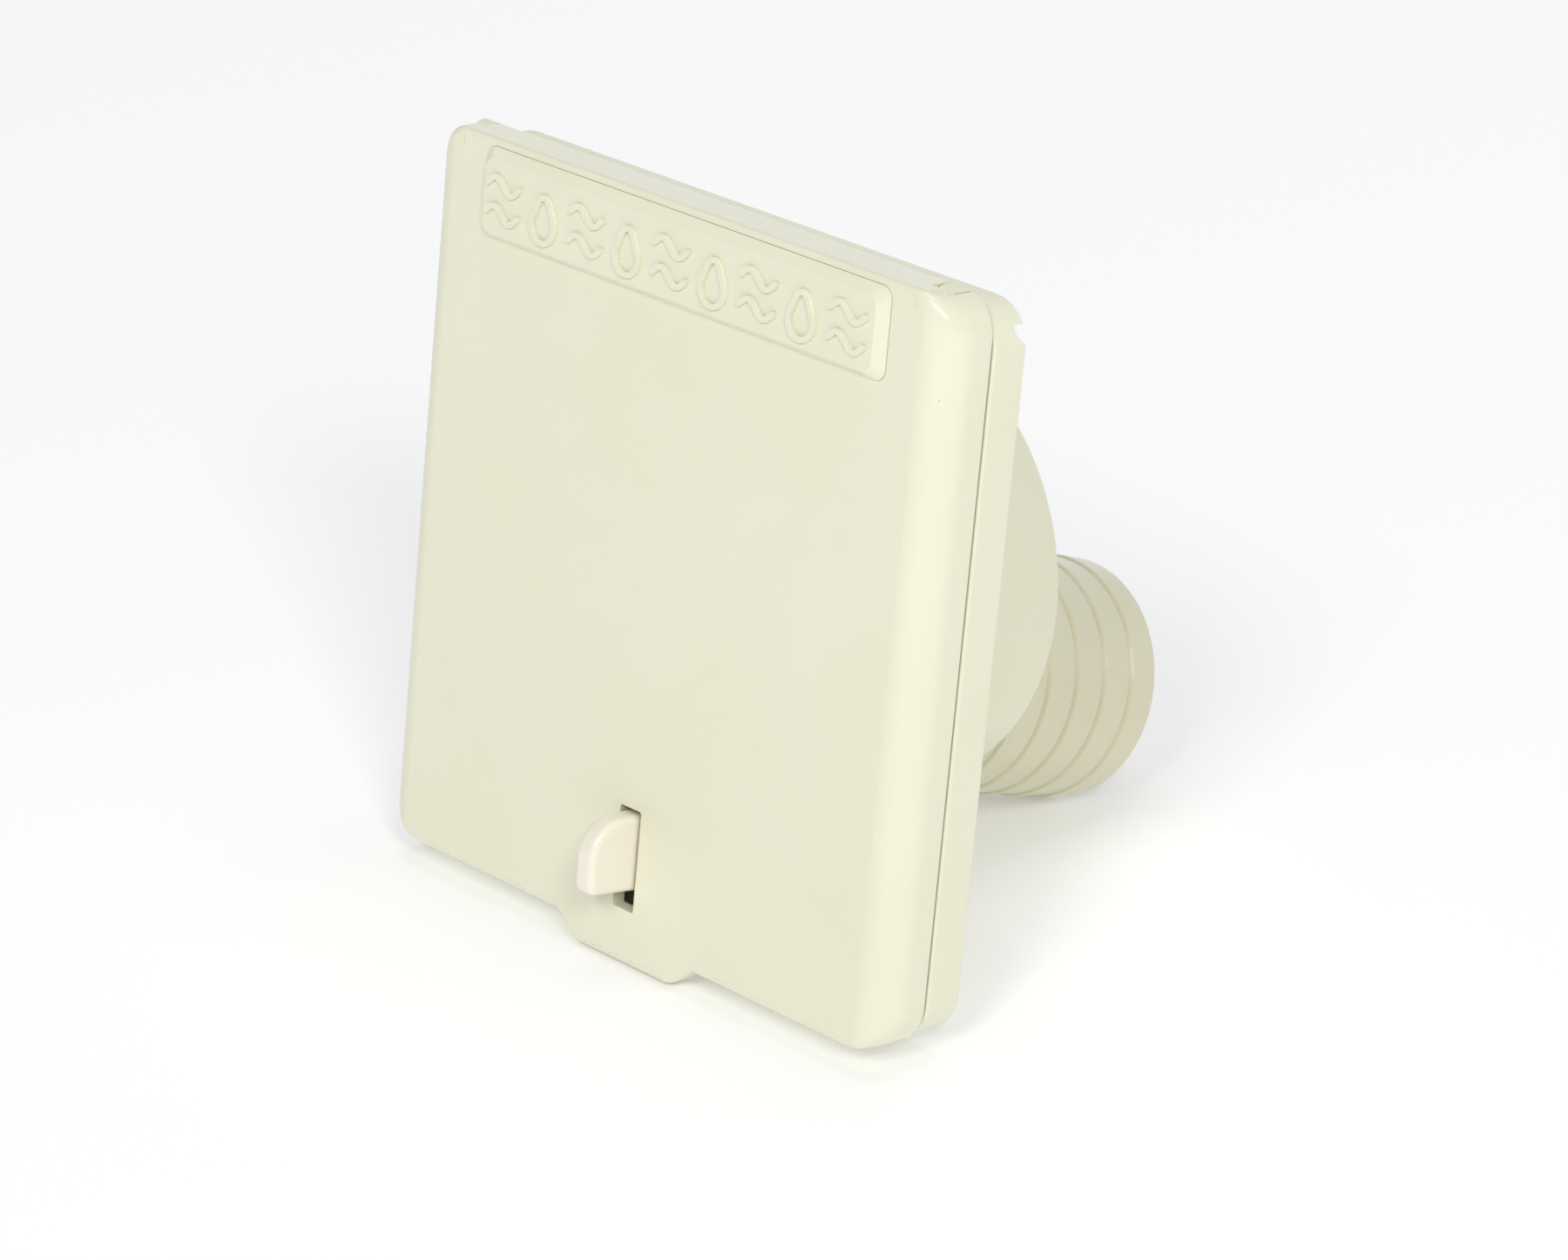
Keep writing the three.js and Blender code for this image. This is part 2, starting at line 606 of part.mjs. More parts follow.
function plugORing() {
  const ring = new THREE.TorusGeometry(O_RING.radius, O_RING.wire, 8, ROUND_STEPS);
  ring.rotateX(Math.PI / 2);
  ring.translate(0, O_RING.s, 0);
  return onSpoutAxis(solid(ring));
}

function plugKnob() {
  const { radius, height, stub, stubLength, chamfer, backChamfer, flutes, fluteRadius } = KNOB;
  const seat = PLUG.postEnd - GAP;
  const end = seat - height;
  let knob = turned([
    [0, end], [radius - chamfer, end], [radius, end + chamfer], [radius, seat - backChamfer],
    [radius - backChamfer, seat], [stub, seat], [stub, seat + stubLength], [0, seat + stubLength],
  ]);
  for (let i = 0; i < flutes; i += 1) {
    const angle = (2 * Math.PI * i) / flutes;
    const flute = rod(fluteRadius, end - PAST, seat + PAST, KNOB.fluteSteps);
    const reach = radius + KNOB.fluteOut;
    knob = cut(knob, flute.translate([reach * Math.cos(angle), 0, reach * Math.sin(angle)]));
  }
  return onSpoutAxis(knob);
}

// A flat strap from an eye around the plug's post up to an eye on the rear wall's boss.
function plugTether() {
  const { width, thickness, eyeOuter, eyeInner, anchorZ, pinEye } = TETHER;
  const under = PLUG.postEnd + TETHER.eyeGap;
  const plugEye = onSpoutAxis(rod(eyeOuter, under, under + thickness));
  const bossFace = dishFloor - ANCHOR.bossHeight;
  const wallEyeBack = bossFace - GAP;
  const wallEye = rod(ANCHOR.bossRadius, wallEyeBack - thickness, wallEyeBack).translate([0, 0, anchorZ]);
  const from = spoutPoint(under + thickness / 2);
  const climb = new THREE.Vector3(0, Math.sin(SPOUT.tilt), Math.cos(SPOUT.tilt));
  const wallY = bossFace - GAP - thickness / 2;
  const route = new THREE.CubicBezierCurve3(
    from.clone().addScaledVector(climb, eyeInner + TETHER.lowerOverlap),
    from.clone().addScaledVector(climb, TETHER.rise),
    new THREE.Vector3(0, wallY, anchorZ - TETHER.drop),
    new THREE.Vector3(0, wallY, anchorZ - pinEye - TETHER.upperOverlap),
  );
  const rings = [];
  for (let i = 0; i <= TETHER.steps; i += 1) {
    const centre = route.getPoint(i / TETHER.steps);
    const along = route.getTangent(i / TETHER.steps);
    const across = new THREE.Vector3(0, -along.z, along.y).multiplyScalar(thickness / 2);
    const sides = [[-1, -1], [1, -1], [1, 1], [-1, 1]];
    rings.push(sides.map(([a, b]) => centre.clone().addScaledVector(across, b).setX(a * width / 2)));
  }
  const strap = loftSquare(rings);
  const eyes = join(plugEye, wallEye, strap);
  const pinHole = rod(pinEye, 0, dishFloor, SMALL_STEPS).translate([0, 0, anchorZ]);
  return cut(eyes, onSpoutAxis(rod(eyeInner, -DISH.back, 0, SMALL_STEPS)), pinHole);
}

// Skins a run of four-cornered rings and caps both ends.
function loftSquare(rings) {
  const index = [];
  for (let level = 0; level + 1 < rings.length; level += 1) {
    for (let i = 0; i < 4; i += 1) {
      const [a, b] = [level * 4 + i, level * 4 + ((i + 1) % 4)];
      index.push(a, b, b + 4, a, b + 4, a + 4);
    }
  }
  const last = (rings.length - 1) * 4;
  index.push(0, 2, 1, 0, 3, 2, last, last + 1, last + 2, last, last + 2, last + 3);
  const geometry = new THREE.BufferGeometry();
  const vertices = rings.flat().flatMap((point) => point.toArray());
  geometry.setAttribute("position", new THREE.Float32BufferAttribute(vertices, 3));
  geometry.setIndex(index);
  return solid(geometry);
}

function tetherPin() {
  const { bossHeight, shank, head, headHeight, headChamfer, skin } = ANCHOR;
  const seat = dishFloor - bossHeight - 2 * GAP - TETHER.thickness;
  const tip = DISH.back - skin - GAP;
  const end = seat - headHeight;
  const profile = [[0, tip], [shank, tip], [shank, seat], [head, seat], [head - headChamfer, end], [0, end]];
  return turned(profile, SMALL_STEPS).translate([0, 0, TETHER.anchorZ]);
}

// ---- assembly ----

const IVORY = { color: 0xe6e7d3, roughness: 0.42, metalness: 0 };
const CREAM = { color: 0xf0ebdb, roughness: 0.38, metalness: 0 };
const RUBBER = { color: 0x2b2a28, roughness: 0.75, metalness: 0 };
const STEEL = { color: 0xb9bbbd, roughness: 0.3, metalness: 1 };
const STRAP = { color: 0xd9d6c4, roughness: 0.6, metalness: 0 };

const part = new THREE.Group();

function addPiece(name, body, finish) {
  const mesh = new THREE.Mesh(geometryOf(body), new THREE.MeshStandardMaterial(finish));
  mesh.name = name;
  part.add(mesh);
}

addPiece("mounting_frame", mountingFrame(), IVORY);
addPiece("fill_dish", fillDish(), IVORY);
addPiece("hose_spout", hoseSpout(), IVORY);
addPiece("lid", lidShell(), IVORY);
addPiece("label_plate", labelPlate(), IVORY);
addPiece("lid_gasket", lidGasket(), RUBBER);
addPiece("latch_slider", latchSlider(), CREAM);
addPiece("latch_spring", latchSpring(), STEEL);
addPiece("latch_retainer", latchRetainer(), IVORY);
for (const [side, hand] of [[-1, "left"], [1, "right"]]) {
  addPiece(`hinge_pin_${hand}`, hingePin(side), STEEL);
  addPiece(`retainer_screw_${hand}`, retainerScrew(side), STEEL);
}
addPiece("fill_plug", fillPlug(), IVORY);
addPiece("plug_knob", plugKnob(), CREAM);
addPiece("plug_o_ring", plugORing(), RUBBER);
addPiece("plug_tether", plugTether(), STRAP);
addPiece("tether_pin", tetherPin(), STEEL);

export default part;
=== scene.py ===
"""Finished look of a gravity water-fill hatch: each moulded, steel and rubber piece is built
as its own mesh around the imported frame, and set on a plain studio stage."""

import json
import math

import bmesh
import bpy
from bpy.props import FloatProperty, FloatVectorProperty, IntProperty, PointerProperty
from mathutils import Euler, Matrix, Vector


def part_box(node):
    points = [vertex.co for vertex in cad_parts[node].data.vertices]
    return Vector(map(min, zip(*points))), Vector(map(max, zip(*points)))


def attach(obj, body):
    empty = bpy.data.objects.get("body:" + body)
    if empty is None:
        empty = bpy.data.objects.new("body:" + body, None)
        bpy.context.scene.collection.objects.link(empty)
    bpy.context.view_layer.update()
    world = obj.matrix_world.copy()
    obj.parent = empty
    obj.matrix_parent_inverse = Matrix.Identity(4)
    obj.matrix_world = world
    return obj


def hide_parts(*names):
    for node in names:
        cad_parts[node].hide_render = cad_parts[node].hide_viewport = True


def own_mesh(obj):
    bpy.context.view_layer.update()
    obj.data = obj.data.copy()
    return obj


bl_info = {
    "name": "Water-fill hatch",
    "version": (1, 0, 0),
    "blender": (4, 5, 0),
    "location": "View3D > Sidebar > Hatch",
    "description": "Builds the pieces of a gravity water-fill hatch and its stage",
    "category": "Object",
}

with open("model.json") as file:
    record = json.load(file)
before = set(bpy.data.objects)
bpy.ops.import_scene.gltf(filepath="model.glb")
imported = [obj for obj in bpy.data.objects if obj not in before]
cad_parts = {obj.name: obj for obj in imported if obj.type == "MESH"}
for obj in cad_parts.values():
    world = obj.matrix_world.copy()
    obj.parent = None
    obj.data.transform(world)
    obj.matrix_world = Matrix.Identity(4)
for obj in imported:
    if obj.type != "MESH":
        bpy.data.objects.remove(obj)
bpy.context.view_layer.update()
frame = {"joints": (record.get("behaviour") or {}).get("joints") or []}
MM = 0.001
GAP = 0.3 * MM    # clearance between pieces that touch or slide
BITE = 0.5 * MM   # how far a rib, boss or lug is sunk in the wall it stands on
PAST = 1 * MM     # how far a cutting tool runs past the face it cuts
FAR = 80 * MM     # reach of a cutting tool that clears the whole hatch
TINY = 1e-7       # a length that counts as nothing
MERGE = 2e-7      # points closer than this become one
SIDES = (-1, 1)

FLANGE_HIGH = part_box("mounting_frame")[1]
LID_LOW, LID_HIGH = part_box("lid")
DISH_LOW, DISH_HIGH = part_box("fill_dish")
LABEL_LOW, LABEL_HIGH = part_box("label_plate")
GASKET_LOW, GASKET_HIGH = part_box("lid_gasket")
SLIDER_LOW, SLIDER_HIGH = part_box("latch_slider")
RETAINER_LOW, RETAINER_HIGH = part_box("latch_retainer")
JOINTS = {joint["name"]: joint for joint in frame["joints"]}
HINGE = Vector(JOINTS["lid_hinge"]["pos_m"])
SPOUT_AXIS = -Vector(JOINTS["plug_pull"]["axis"])
DISH_Z = (DISH_LOW.z + DISH_HIGH.z) / 2
RETAINER_Z = (RETAINER_LOW.z + RETAINER_HIGH.z) / 2


# ---- sizes and colours ----

def length(name, description, millimetres):
    """A length property whose default is given in millimetres."""
    return FloatProperty(
        name=name, description=description, default=millimetres * MM, unit="LENGTH", precision=5
    )


def colour(name, description, red, green, blue):
    """A linear colour property."""
    return FloatVectorProperty(
        name=name, description=description, default=(red, green, blue), subtype="COLOR", min=0, max=1,
    )


def bearing(name, description, degrees):
    """An angle property whose default is given in degrees."""
    return FloatProperty(
        name=name, description=description, default=math.radians(degrees), subtype="ANGLE"
    )


class FlangeSizes(bpy.types.PropertyGroup):
    """The square flange that covers the cut-out."""

    depth: length("Depth", "Height of the flange off the wall", 5.55)
    plate: length("Plate", "Thickness of the front plate", 2.2)
    skirt: length("Skirt", "Thickness of the skirt around the edge", 2)
    height: length("Height", "Height of the flange without its ears", 94.4)
    corner: length("Corner", "Radius of the corners", 5.5)
    edge: length("Edge", "Radius of the moulded edges", 0.3)
    mouth: length("Mouth", "Radius of the fill mouth", 26)
    chord: length("Chord", "Height of the mouth's flat lower edge", -21.9)
    mouth_corner: length("Mouth corner", "Radius of the mouth's lower corners", 2.5)
    rim: length("Rim", "Width of the raised rim around the mouth", 2)
    rim_height: length("Rim height", "Height of the raised rim", 1.5)
    hole_x: length("Hole X", "Screw holes to left and right of centre", 39.8)
    hole_z: length("Hole Z", "Screw holes above and below centre", 39.2)
    hole: length("Hole", "Radius of a screw hole", 2.1)
    countersink: length("Countersink", "Radius of a screw hole's countersink", 4)
    ear_inner: length("Ear inner", "Inner side of a hinge ear", 41)
    ear_outer: length("Ear outer", "Outer side of a hinge ear", 43.8)
    ear_radius: length("Ear radius", "Radius of a hinge ear's round nose", 2.2)
    notch_top: length("Notch top", "Top of the bite in the skirt's back edge", 44.65)
    notch_bottom: length("Notch bottom", "Bottom of the bite in the skirt's back edge", 42)
    notch_depth: length("Notch depth", "Depth of the bite in the skirt's back edge", 1.7)


class LidSizes(bpy.types.PropertyGroup):
    """The hinged lid."""

    wall: length("Wall", "Thickness of the lid's walls", 2)
    corner: length("Corner", "Radius of the corners seen from the front", 6)
    side_round: length("Side round", "Front edge radius on the left and right", 5)
    bottom_round: length("Bottom round", "Front edge radius along the bottom", 1.6)
    top_round: length("Top round", "Front edge radius along the top", 0.8)
    lip_flat: length("Lip flat", "Half width of the finger lip's straight edge", 8)
    lip_root: length("Lip root", "Half width of the finger lip where it meets the lid", 13.4)
    lip_drop: length("Lip drop", "Drop of the finger lip below the lid", 3.1)
    lip_depth: length("Lip depth", "Thickness of the finger lip", 4)
    slot_half: length("Slot half", "Half width of the latch slot", 1.95)
    slot_bottom: length("Slot bottom", "Bottom of the latch slot", -43.5)
    slot_top: length("Slot top", "Top of the latch slot", -29.8)
    edge: length("Edge", "Radius of the cut edges", 0.22)
    tick: length("Tick", "Height of the moulding ticks at the top edge", 1.9)
    tick_x: length("Tick X", "Moulding ticks to left and right of centre", 41.3)
    lug_inner: length("Lug inner", "Inner side of a hinge lug", 38.2)
    ear_gap: length("Ear gap", "Seam beside a hinge ear", 0.12)
    guide_rib: length("Guide rib", "Thickness of the ribs beside the slider", 1.2)


class LabelSizes(bpy.types.PropertyGroup):
    """The raised label plate and its ornament."""

    seam: length("Seam", "Seam around the plate in its pocket", 0.05)
    corner: length("Corner", "Radius of the corners", 1.6)
    bevel: length("Bevel", "Width of the bevel on the left and below", 0.8)
    top_bevel: length("Top bevel", "Width of the bevel along the top", 1.4)
    end_bevel: length("End bevel", "Width of the bevel on the right end", 1.7)
    margin: length("Margin", "Bare rim between the bevel and the ornament", 1.2)
    stroke: length("Stroke", "Width of a raised line", 0.95)
    relief: length("Relief", "Height of a raised line", 0.45)
    cells: IntProperty(
        name="Cells", description="Drops and pairs of waves in the row", default=9, min=1, max=30
    )


class LatchSizes(bpy.types.PropertyGroup):
    """The latch slider with its thumb fin, and the parts that hold it."""

    fin_half: length("Fin half", "Half thickness of the thumb fin", 1.65)
    fin_top: length("Fin top", "Top of the fin at its root", -30.4)
    fin_rise: length("Fin rise", "Rise of the fin's top edge towards its tip", 0.1)
    fin_bottom: length("Fin bottom", "Bottom of the fin at its root", -40.95)
    fin_lift: length("Fin lift", "Lift of the fin's lower edge towards its tip", 0.9)
    fin_corner: length("Fin corner", "Radius of the fin's upper front corner", 4.9)
    fin_heel: length("Fin heel", "Radius of the fin's lower front corner", 1.6)
    fin_edge: length("Fin edge", "Radius of the fin's long edges", 0.95)
    plate: length("Plate", "Thickness of the slider's plate", 1.5)
    plate_bottom: length("Plate bottom", "Lower edge of the slider's plate", -39.6)
    hook_inner: length("Hook inner", "Inner side of a hook", 3.2)
    hook_outer: length("Hook outer", "Outer side of a hook", 5.7)
    hook_top: length("Hook top", "Upper edge of a hook's arm", -40.2)
    hook_nose: length("Hook nose", "Tip of a hook's nose", -38.5)
    hook_catch: length("Hook catch", "Catching face of a hook's nose", -3.05)
    seat_half: length("Seat half", "Half width of the spring's seat", 1.9)
    screw_x: length("Screw X", "Retainer screws to left and right of centre", 9)
    shank: length("Shank", "Radius of a retainer screw's shank", 1)
    head: length("Head", "Radius of a retainer screw's head", 2)
    wire: length("Wire", "Radius of the spring's wire", 0.22)
    turns: IntProperty(name="Turns", description="Turns of the spring", default=6, min=2, max=20)


class DishSizes(bpy.types.PropertyGroup):
    """The round dish behind the flange."""

    outer: length("Outer", "Outer radius of the dish", 29.6)
    wall: length("Wall", "Thickness of the dish's walls", 2)
    bond: length("Bond", "Thickness of the bonding flange", 2)
    boss: length("Boss", "Radius of the tether's boss", 4)
    boss_height: length("Boss height", "Height of the tether's boss", 2.4)
    boss_z: length("Boss Z", "Height of the tether's boss above centre", 13)


class SpoutSizes(bpy.types.PropertyGroup):
    """The barbed hose spout, measured along its own axis from the dish's rear face."""

    z: length("Z", "Height of the spout's axis at the rear face", -17.7)
    length: length("Length", "Length of the spout along its axis", 35.9)
    crest: length("Crest", "Radius over a barb", 16.4)
    band: length("Band", "Radius of the band just before a barb", 16.15)
    groove: length("Groove", "Radius in the groove beside a barb", 15.85)
    bore: length("Bore", "Radius of the bore", 13.4)
    socket: length("Socket", "Radius of the plug's socket", 14.2)
    socket_depth: length("Socket depth", "Depth of the plug's socket", 10.6)
    pitch: length("Pitch", "Distance between barbs", 5.47)
    last: length("Last", "Distance from the last barb to the end", 4.9)
    saddle: length("Saddle", "Where the tube starts in the dish's lower wall, from the flange's back", 16)
    barbs: IntProperty(name="Barbs", description="Number of barbs", default=6, min=1, max=12)


class PlugSizes(bpy.types.PropertyGroup):
    """The push-in plug, measured along the spout's axis from the dish's rear face."""

    radius: length("Radius", "Radius of the plug", 13.8)
    front: length("Front", "Front face of the plug", -1)
    back: length("Back", "Back face of the plug", 9)
    post: length("Post", "Radius of the plug's post", 2.5)
    post_end: length("Post end", "End of the plug's post", -14.5)
    ring_at: length("Ring at", "Place of the O-ring", 5.2)
    ring_radius: length("Ring radius", "Radius to the middle of the O-ring", 13.05)
    ring_wire: length("Ring wire", "Radius of the O-ring's section", 0.85)
    knob: length("Knob", "Radius of the plug's knob", 6)
    knob_height: length("Knob height", "Height of the plug's knob", 5)
    flutes: IntProperty(name="Flutes", description="Grip flutes around the knob", default=12, min=3, max=40)


class HatchColours(bpy.types.PropertyGroup):
    """Base colours of the finishes."""

    ivory: colour("Ivory", "Satin body plastic", 0.80, 0.795, 0.625)
    # Painted shade: the spout's base colour is the ivory darkened for the shade on the spout; its higher
    # gloss and coat are its own.
    spout: colour("Spout", "Glossy spout plastic darkened as painted shade", 0.68, 0.655, 0.475)
    cream: colour("Cream", "Latch and plug plastic", 0.87, 0.825, 0.715)
    # Painted shade: the warm tan that the ambient-occlusion crease mask mixes into seams and creases.
    seam: colour("Seam", "Painted warm shade in seams and creases", 0.42, 0.31, 0.14)
    rubber: colour("Rubber", "Gasket and O-ring", 0.022, 0.022, 0.023)
    tether: colour("Tether", "Flexible strap", 0.66, 0.63, 0.50)
    steel: colour("Steel", "Pins and screws", 0.60, 0.60, 0.61)
    rust: colour("Rust", "Film on the spring", 0.20, 0.065, 0.022)
    floor: colour("Floor", "Studio floor", 0.82, 0.825, 0.83)


class StageSettings(bpy.types.PropertyGroup):
    """The camera's place around the hatch, the floor it leans on and the lights."""

    azimuth: bearing("Azimuth", "Camera angle to the right of the front", 45.144)
    elevation: bearing("Elevation", "Camera angle above the hatch's level", 18.184)
    roll: bearing("Roll", "Lean of the hatch to the right in the picture", 5.29)
    distance: length("Distance", "Camera to the aim point", 791.5)
    aim: FloatVectorProperty(
        name="Aim", description="Point that the camera looks at", default=(7 * MM, 3.95 * MM, -6.63 * MM),
        subtype="TRANSLATION", unit="LENGTH", precision=5,
    )
    lens: FloatProperty(name="Lens", description="Focal length in millimetres", default=143.36)
    floor_size: length("Floor size", "Side of the floor", 8000)
    ambient: FloatProperty(name="Ambient", description="Brightness of the surroundings", default=0.34)
    key: FloatProperty(name="Key", description="Power of the key light in watts", default=25)
    top: FloatProperty(name="Top", description="Power of the overhead light in watts", default=9.5)
    sweep: FloatProperty(name="Sweep", description="Power of the pale card behind in watts", default=9)
    glow: FloatProperty(name="Glow", description="Light off the floor near the hatch", default=0.29)
    far_glow: FloatProperty(name="Far glow", description="Light off the floor far away", default=0.45)


# ---- outlines ----

def arc(centre, radius, start, end, steps=8):
    """Points on an arc, from a start to an end angle in degrees."""
    angles = [math.radians(start + (end - start) * i / steps) for i in range(steps + 1)]
    return [(centre[0] + radius * math.cos(a), centre[1] + radius * math.sin(a)) for a in angles]


def rounded(points, radius, steps=5):
    """A closed outline with its corners turned into arcs, all of one radius or each of its own."""
    radii = radius if hasattr(radius, "__len__") else [radius] * len(points)
    most = 0.49    # an arc takes at most this share of the side beside it
    outline = []
    for i, point in enumerate(points):
        here = Vector(point)
        back = Vector(points[i - 1]) - here
        ahead = Vector(points[(i + 1) % len(points)]) - here
        half = back.angle(ahead) / 2
        reach = min(radii[i] / math.tan(half), most * back.length, most * ahead.length)
        if reach < TINY:
            outline.append(tuple(here))
            continue
        start, end = back.normalized(), ahead.normalized()
        centre = (start + end).normalized() * reach / math.cos(half)
        first, last = start * reach - centre, end * reach - centre
        turn = first.angle(last)
        for k in range(steps + 1):
            t = k / steps
            swing = (first * math.sin((1 - t) * turn) + last * math.sin(t * turn)) / math.sin(turn)
            outline.append(tuple(here + centre + swing))
    return outline


def rectangle(x0, x1, z0, z1):
    """The corners of a rectangle, anticlockwise."""
    return [(x0, z0), (x1, z0), (x1, z1), (x0, z1)]


def edge_inset(radius, depth):
    """How far an edge rounded with the given radius stands back at a depth behind the front."""
    if depth >= radius:
        return 0.0
    return radius - math.sqrt(radius * radius - (radius - depth) ** 2)


def round_depths(*radii, steps=9):
    """Depths behind a face that follow several edge radii evenly, deepest last."""
    found = {0.0}
    for radius in radii:
        found |= {radius * (1 - math.cos(math.radians(90 * i / steps))) for i in range(1, steps + 1)}
    return sorted(found)


# ---- meshes ----

def new_piece(name, points, faces):
    """A mesh object with merged points and outward faces."""
    mesh = bpy.data.meshes.new(name)
    mesh.from_pydata([tuple(p) for p in points], [], faces)
    piece = bpy.data.objects.new(name, mesh)
    bpy.context.scene.collection.objects.link(piece)
    clean(piece)
    return piece


def clean(piece, flatten=False):
    """Merges doubled points, turns the faces outward and may dissolve cuts across flat faces."""
    form = bmesh.new()
    form.from_mesh(piece.data)
    bmesh.ops.remove_doubles(form, verts=form.verts, dist=MERGE)
    loose = [edge for edge in form.edges if not edge.link_faces]
    bmesh.ops.delete(form, geom=loose, context="EDGES")
    if flatten:
        flat = math.radians(0.4)
        bmesh.ops.dissolve_limit(form, angle_limit=flat, verts=form.verts, edges=form.edges)
    bmesh.ops.recalc_face_normals(form, faces=form.faces)
    form.to_mesh(piece.data)
    form.free()


def skinned(name, rings, looped=False):
    """A closed skin over rings that have the same number of points, capped unless it loops."""
    count = len(rings[0])
    points = [p for ring in rings for p in ring]
    faces = []
    for level in range(len(rings) if looped else len(rings) - 1):
        a = level * count
        b = (level + 1) % len(rings) * count
        faces += [(a + i, a + (i + 1) % count, b + (i + 1) % count, b + i) for i in range(count)]
    if not looped:
        faces.append(tuple(range(count)))
        faces.append(tuple(range(len(points) - count, len(points))))
    return new_piece(name, points, faces)


def turned(name, profile, steps=128):
    """A closed (radius, y) profile turned about the Y axis."""
    rings = []
    for i in range(steps):
        angle = 2 * math.pi * i / steps
        rings.append([(r * math.cos(angle), y, r * math.sin(angle)) for r, y in profile])
    return skinned(name, rings, looped=True)


def turned_corners(name, corners, steps=128, corner_steps=5):
    """A turned piece from the corners of its (radius, y) profile, each with a rounding in millimetres."""
    points = [point for point, _ in corners]
    roundings = [rounding * MM for _, rounding in corners]
    return turned(name, rounded(points, roundings, corner_steps), steps)


def pulled(name, outline, axis, start, end):
    """An outline pulled along Y, drawn in (x, z), or along X, drawn in (y, z)."""
    if axis == "Y":
        rings = [[(a, at, b) for a, b in outline] for at in (start, end)]
    else:
        rings = [[(at, a, b) for a, b in outline] for at in (start, end)]
    return skinned(name, rings)


def span(side, inner, outer):
    """The x range between two distances on the right side, or its mirror on the left."""
    return (inner, outer) if side > 0 else (-outer, -inner)


def block(low, high):
    """A plain cutter or rib between two corners."""
    return pulled("block", rectangle(low[0], high[0], low[2], high[2]), "Y", low[1], high[1])


def rod(radius, y0, y1, steps=64):
    """A round cutter or boss along Y."""
    return turned("rod", [(0, y0), (radius, y0), (radius, y1), (0, y1)], steps)


def placed(piece, matrix):
    """Moves a piece's points by a matrix."""
    piece.data.transform(matrix)
    return piece


def moved(piece, x, z):
    """Moves a piece to the right and up."""
    return placed(piece, Matrix.Translation((x, 0, z)))


def rod_x(radius, x0, x1, y, z, steps=48):
    """A round cutter along X."""
    place = Matrix.Translation((0, y, z)) @ Matrix.Rotation(-math.pi / 2, 4, "Z")
    return placed(rod(radius, x0, x1, steps), place)


def baked(piece):
    """Applies a piece's modifiers."""
    graph = bpy.context.evaluated_depsgraph_get()
    mesh = bpy.data.meshes.new_from_object(piece.evaluated_get(graph))
    piece.modifiers.clear()
    old = piece.data
    piece.data = mesh
    bpy.data.meshes.remove(old)
    return piece


def combine(piece, tool, operation):
    """Joins a tool to a piece or cuts it away, and removes the tool."""
    change = piece.modifiers.new("combine", "BOOLEAN")
    change.operation = operation
    change.solver = "EXACT"
    change.object = tool
    baked(piece)
    bpy.data.objects.remove(tool)
    clean(piece, flatten=True)
    if not piece.data.polygons:
        raise RuntimeError(f"{piece.name} vanished in a boolean")
    return piece


def bundled(tools):
    """Separate tools as one mesh, so that they are joined or cut in one step."""
    form = bmesh.new()
    for tool in tools:
        form.from_mesh(tool.data)
    form.to_mesh(tools[0].data)
    form.free()
    for tool in tools[1:]:
        bpy.data.objects.remove(tool)
    return tools[0]


def join(piece, *tools):
    """The piece with the tools joined on."""
    for tool in tools:
        combine(piece, tool, "UNION")
    return piece


def cut(piece, *tools):
    """The piece with the tools cut away."""
    for tool in tools:
        combine(piece, tool, "DIFFERENCE")
    return piece


def soften(piece, radius, segments=3, angle=32):
    """Rounds the sharp edges, as every moulded or machined edge is."""
    bevel = piece.modifiers.new("edges", "BEVEL")
    bevel.width = radius
    bevel.segments = segments
    bevel.limit_method = "ANGLE"
    bevel.angle_limit = math.radians(angle)
    bevel.miter_outer = "MITER_ARC"
    return baked(piece)


def shade(piece, angle=38):
    """Smooth shading that stays flat on flat faces and crisp on sharp edges."""
    piece.data.polygons.foreach_set("use_smooth", [True] * len(piece.data.polygons))
    piece.data.set_sharp_from_angle(angle=math.radians(angle))
    weigh = piece.modifiers.new("normals", "WEIGHTED_NORMAL")
    weigh.keep_sharp = True
    weigh.weight = 80
    return piece


def renamed(piece, name):
    """Gives a piece its final name."""
    piece.name = name
    piece.data.name = name
    return piece


def settle(piece, name, body, nodes, material):
    """Finishes a piece: its name, shading, material, and the body and nodes it stands for."""
    renamed(piece, name)
    shade(piece)
    piece.data.materials.clear()
    piece.data.materials.append(material)
    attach(piece, body)
    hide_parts(*nodes)
    return piece


# ---- shader groups ----

def new_group(name, inputs, outputs):
    """An empty shader group with named sockets. Inputs are (name, kind, value)."""
    group = bpy.data.node_groups.new(name, "ShaderNodeTree")
    for label, kind, value in inputs:
        socket = group.interface.new_socket(name=label, in_out="INPUT", socket_type=f"NodeSocket{kind}")
        socket.default_value = value
    for label, kind in outputs:
        group.interface.new_socket(name=label, in_out="OUTPUT", socket_type=f"NodeSocket{kind}")
    return group, group.nodes.new("NodeGroupInput"), group.nodes.new("NodeGroupOutput")


def add(tree, kind, sockets=(), **settings):
    """A node with its settings, and its input sockets set to values or linked to outputs."""
    node = tree.nodes.new(f"ShaderNode{kind}")
    for key, value in settings.items():
        setattr(node, key, value)
    for key, value in dict(sockets).items():
        if isinstance(value, bpy.types.NodeSocket):
            tree.links.new(value, node.inputs[key])
        else:
            node.inputs[key].default_value = value
    return node


def noise(tree, scale, detail=2.0, roughness=0.5):
    """Noise over the piece's own coordinates."""
    place = add(tree, "TexCoord").outputs["Object"]
    sockets = {"Vector": place, "Scale": scale, "Detail": detail, "Roughness": roughness}
    return add(tree, "TexNoise", sockets).outputs["Fac"]


def between(tree, value, low, high, to_low, to_high):
    """A value mapped from one range to another, held at the ends."""
    names = {"Value": value, "From Min": low, "From Max": high, "To Min": to_low, "To Max": to_high}
    return add(tree, "MapRange", names, clamp=True).outputs["Result"]


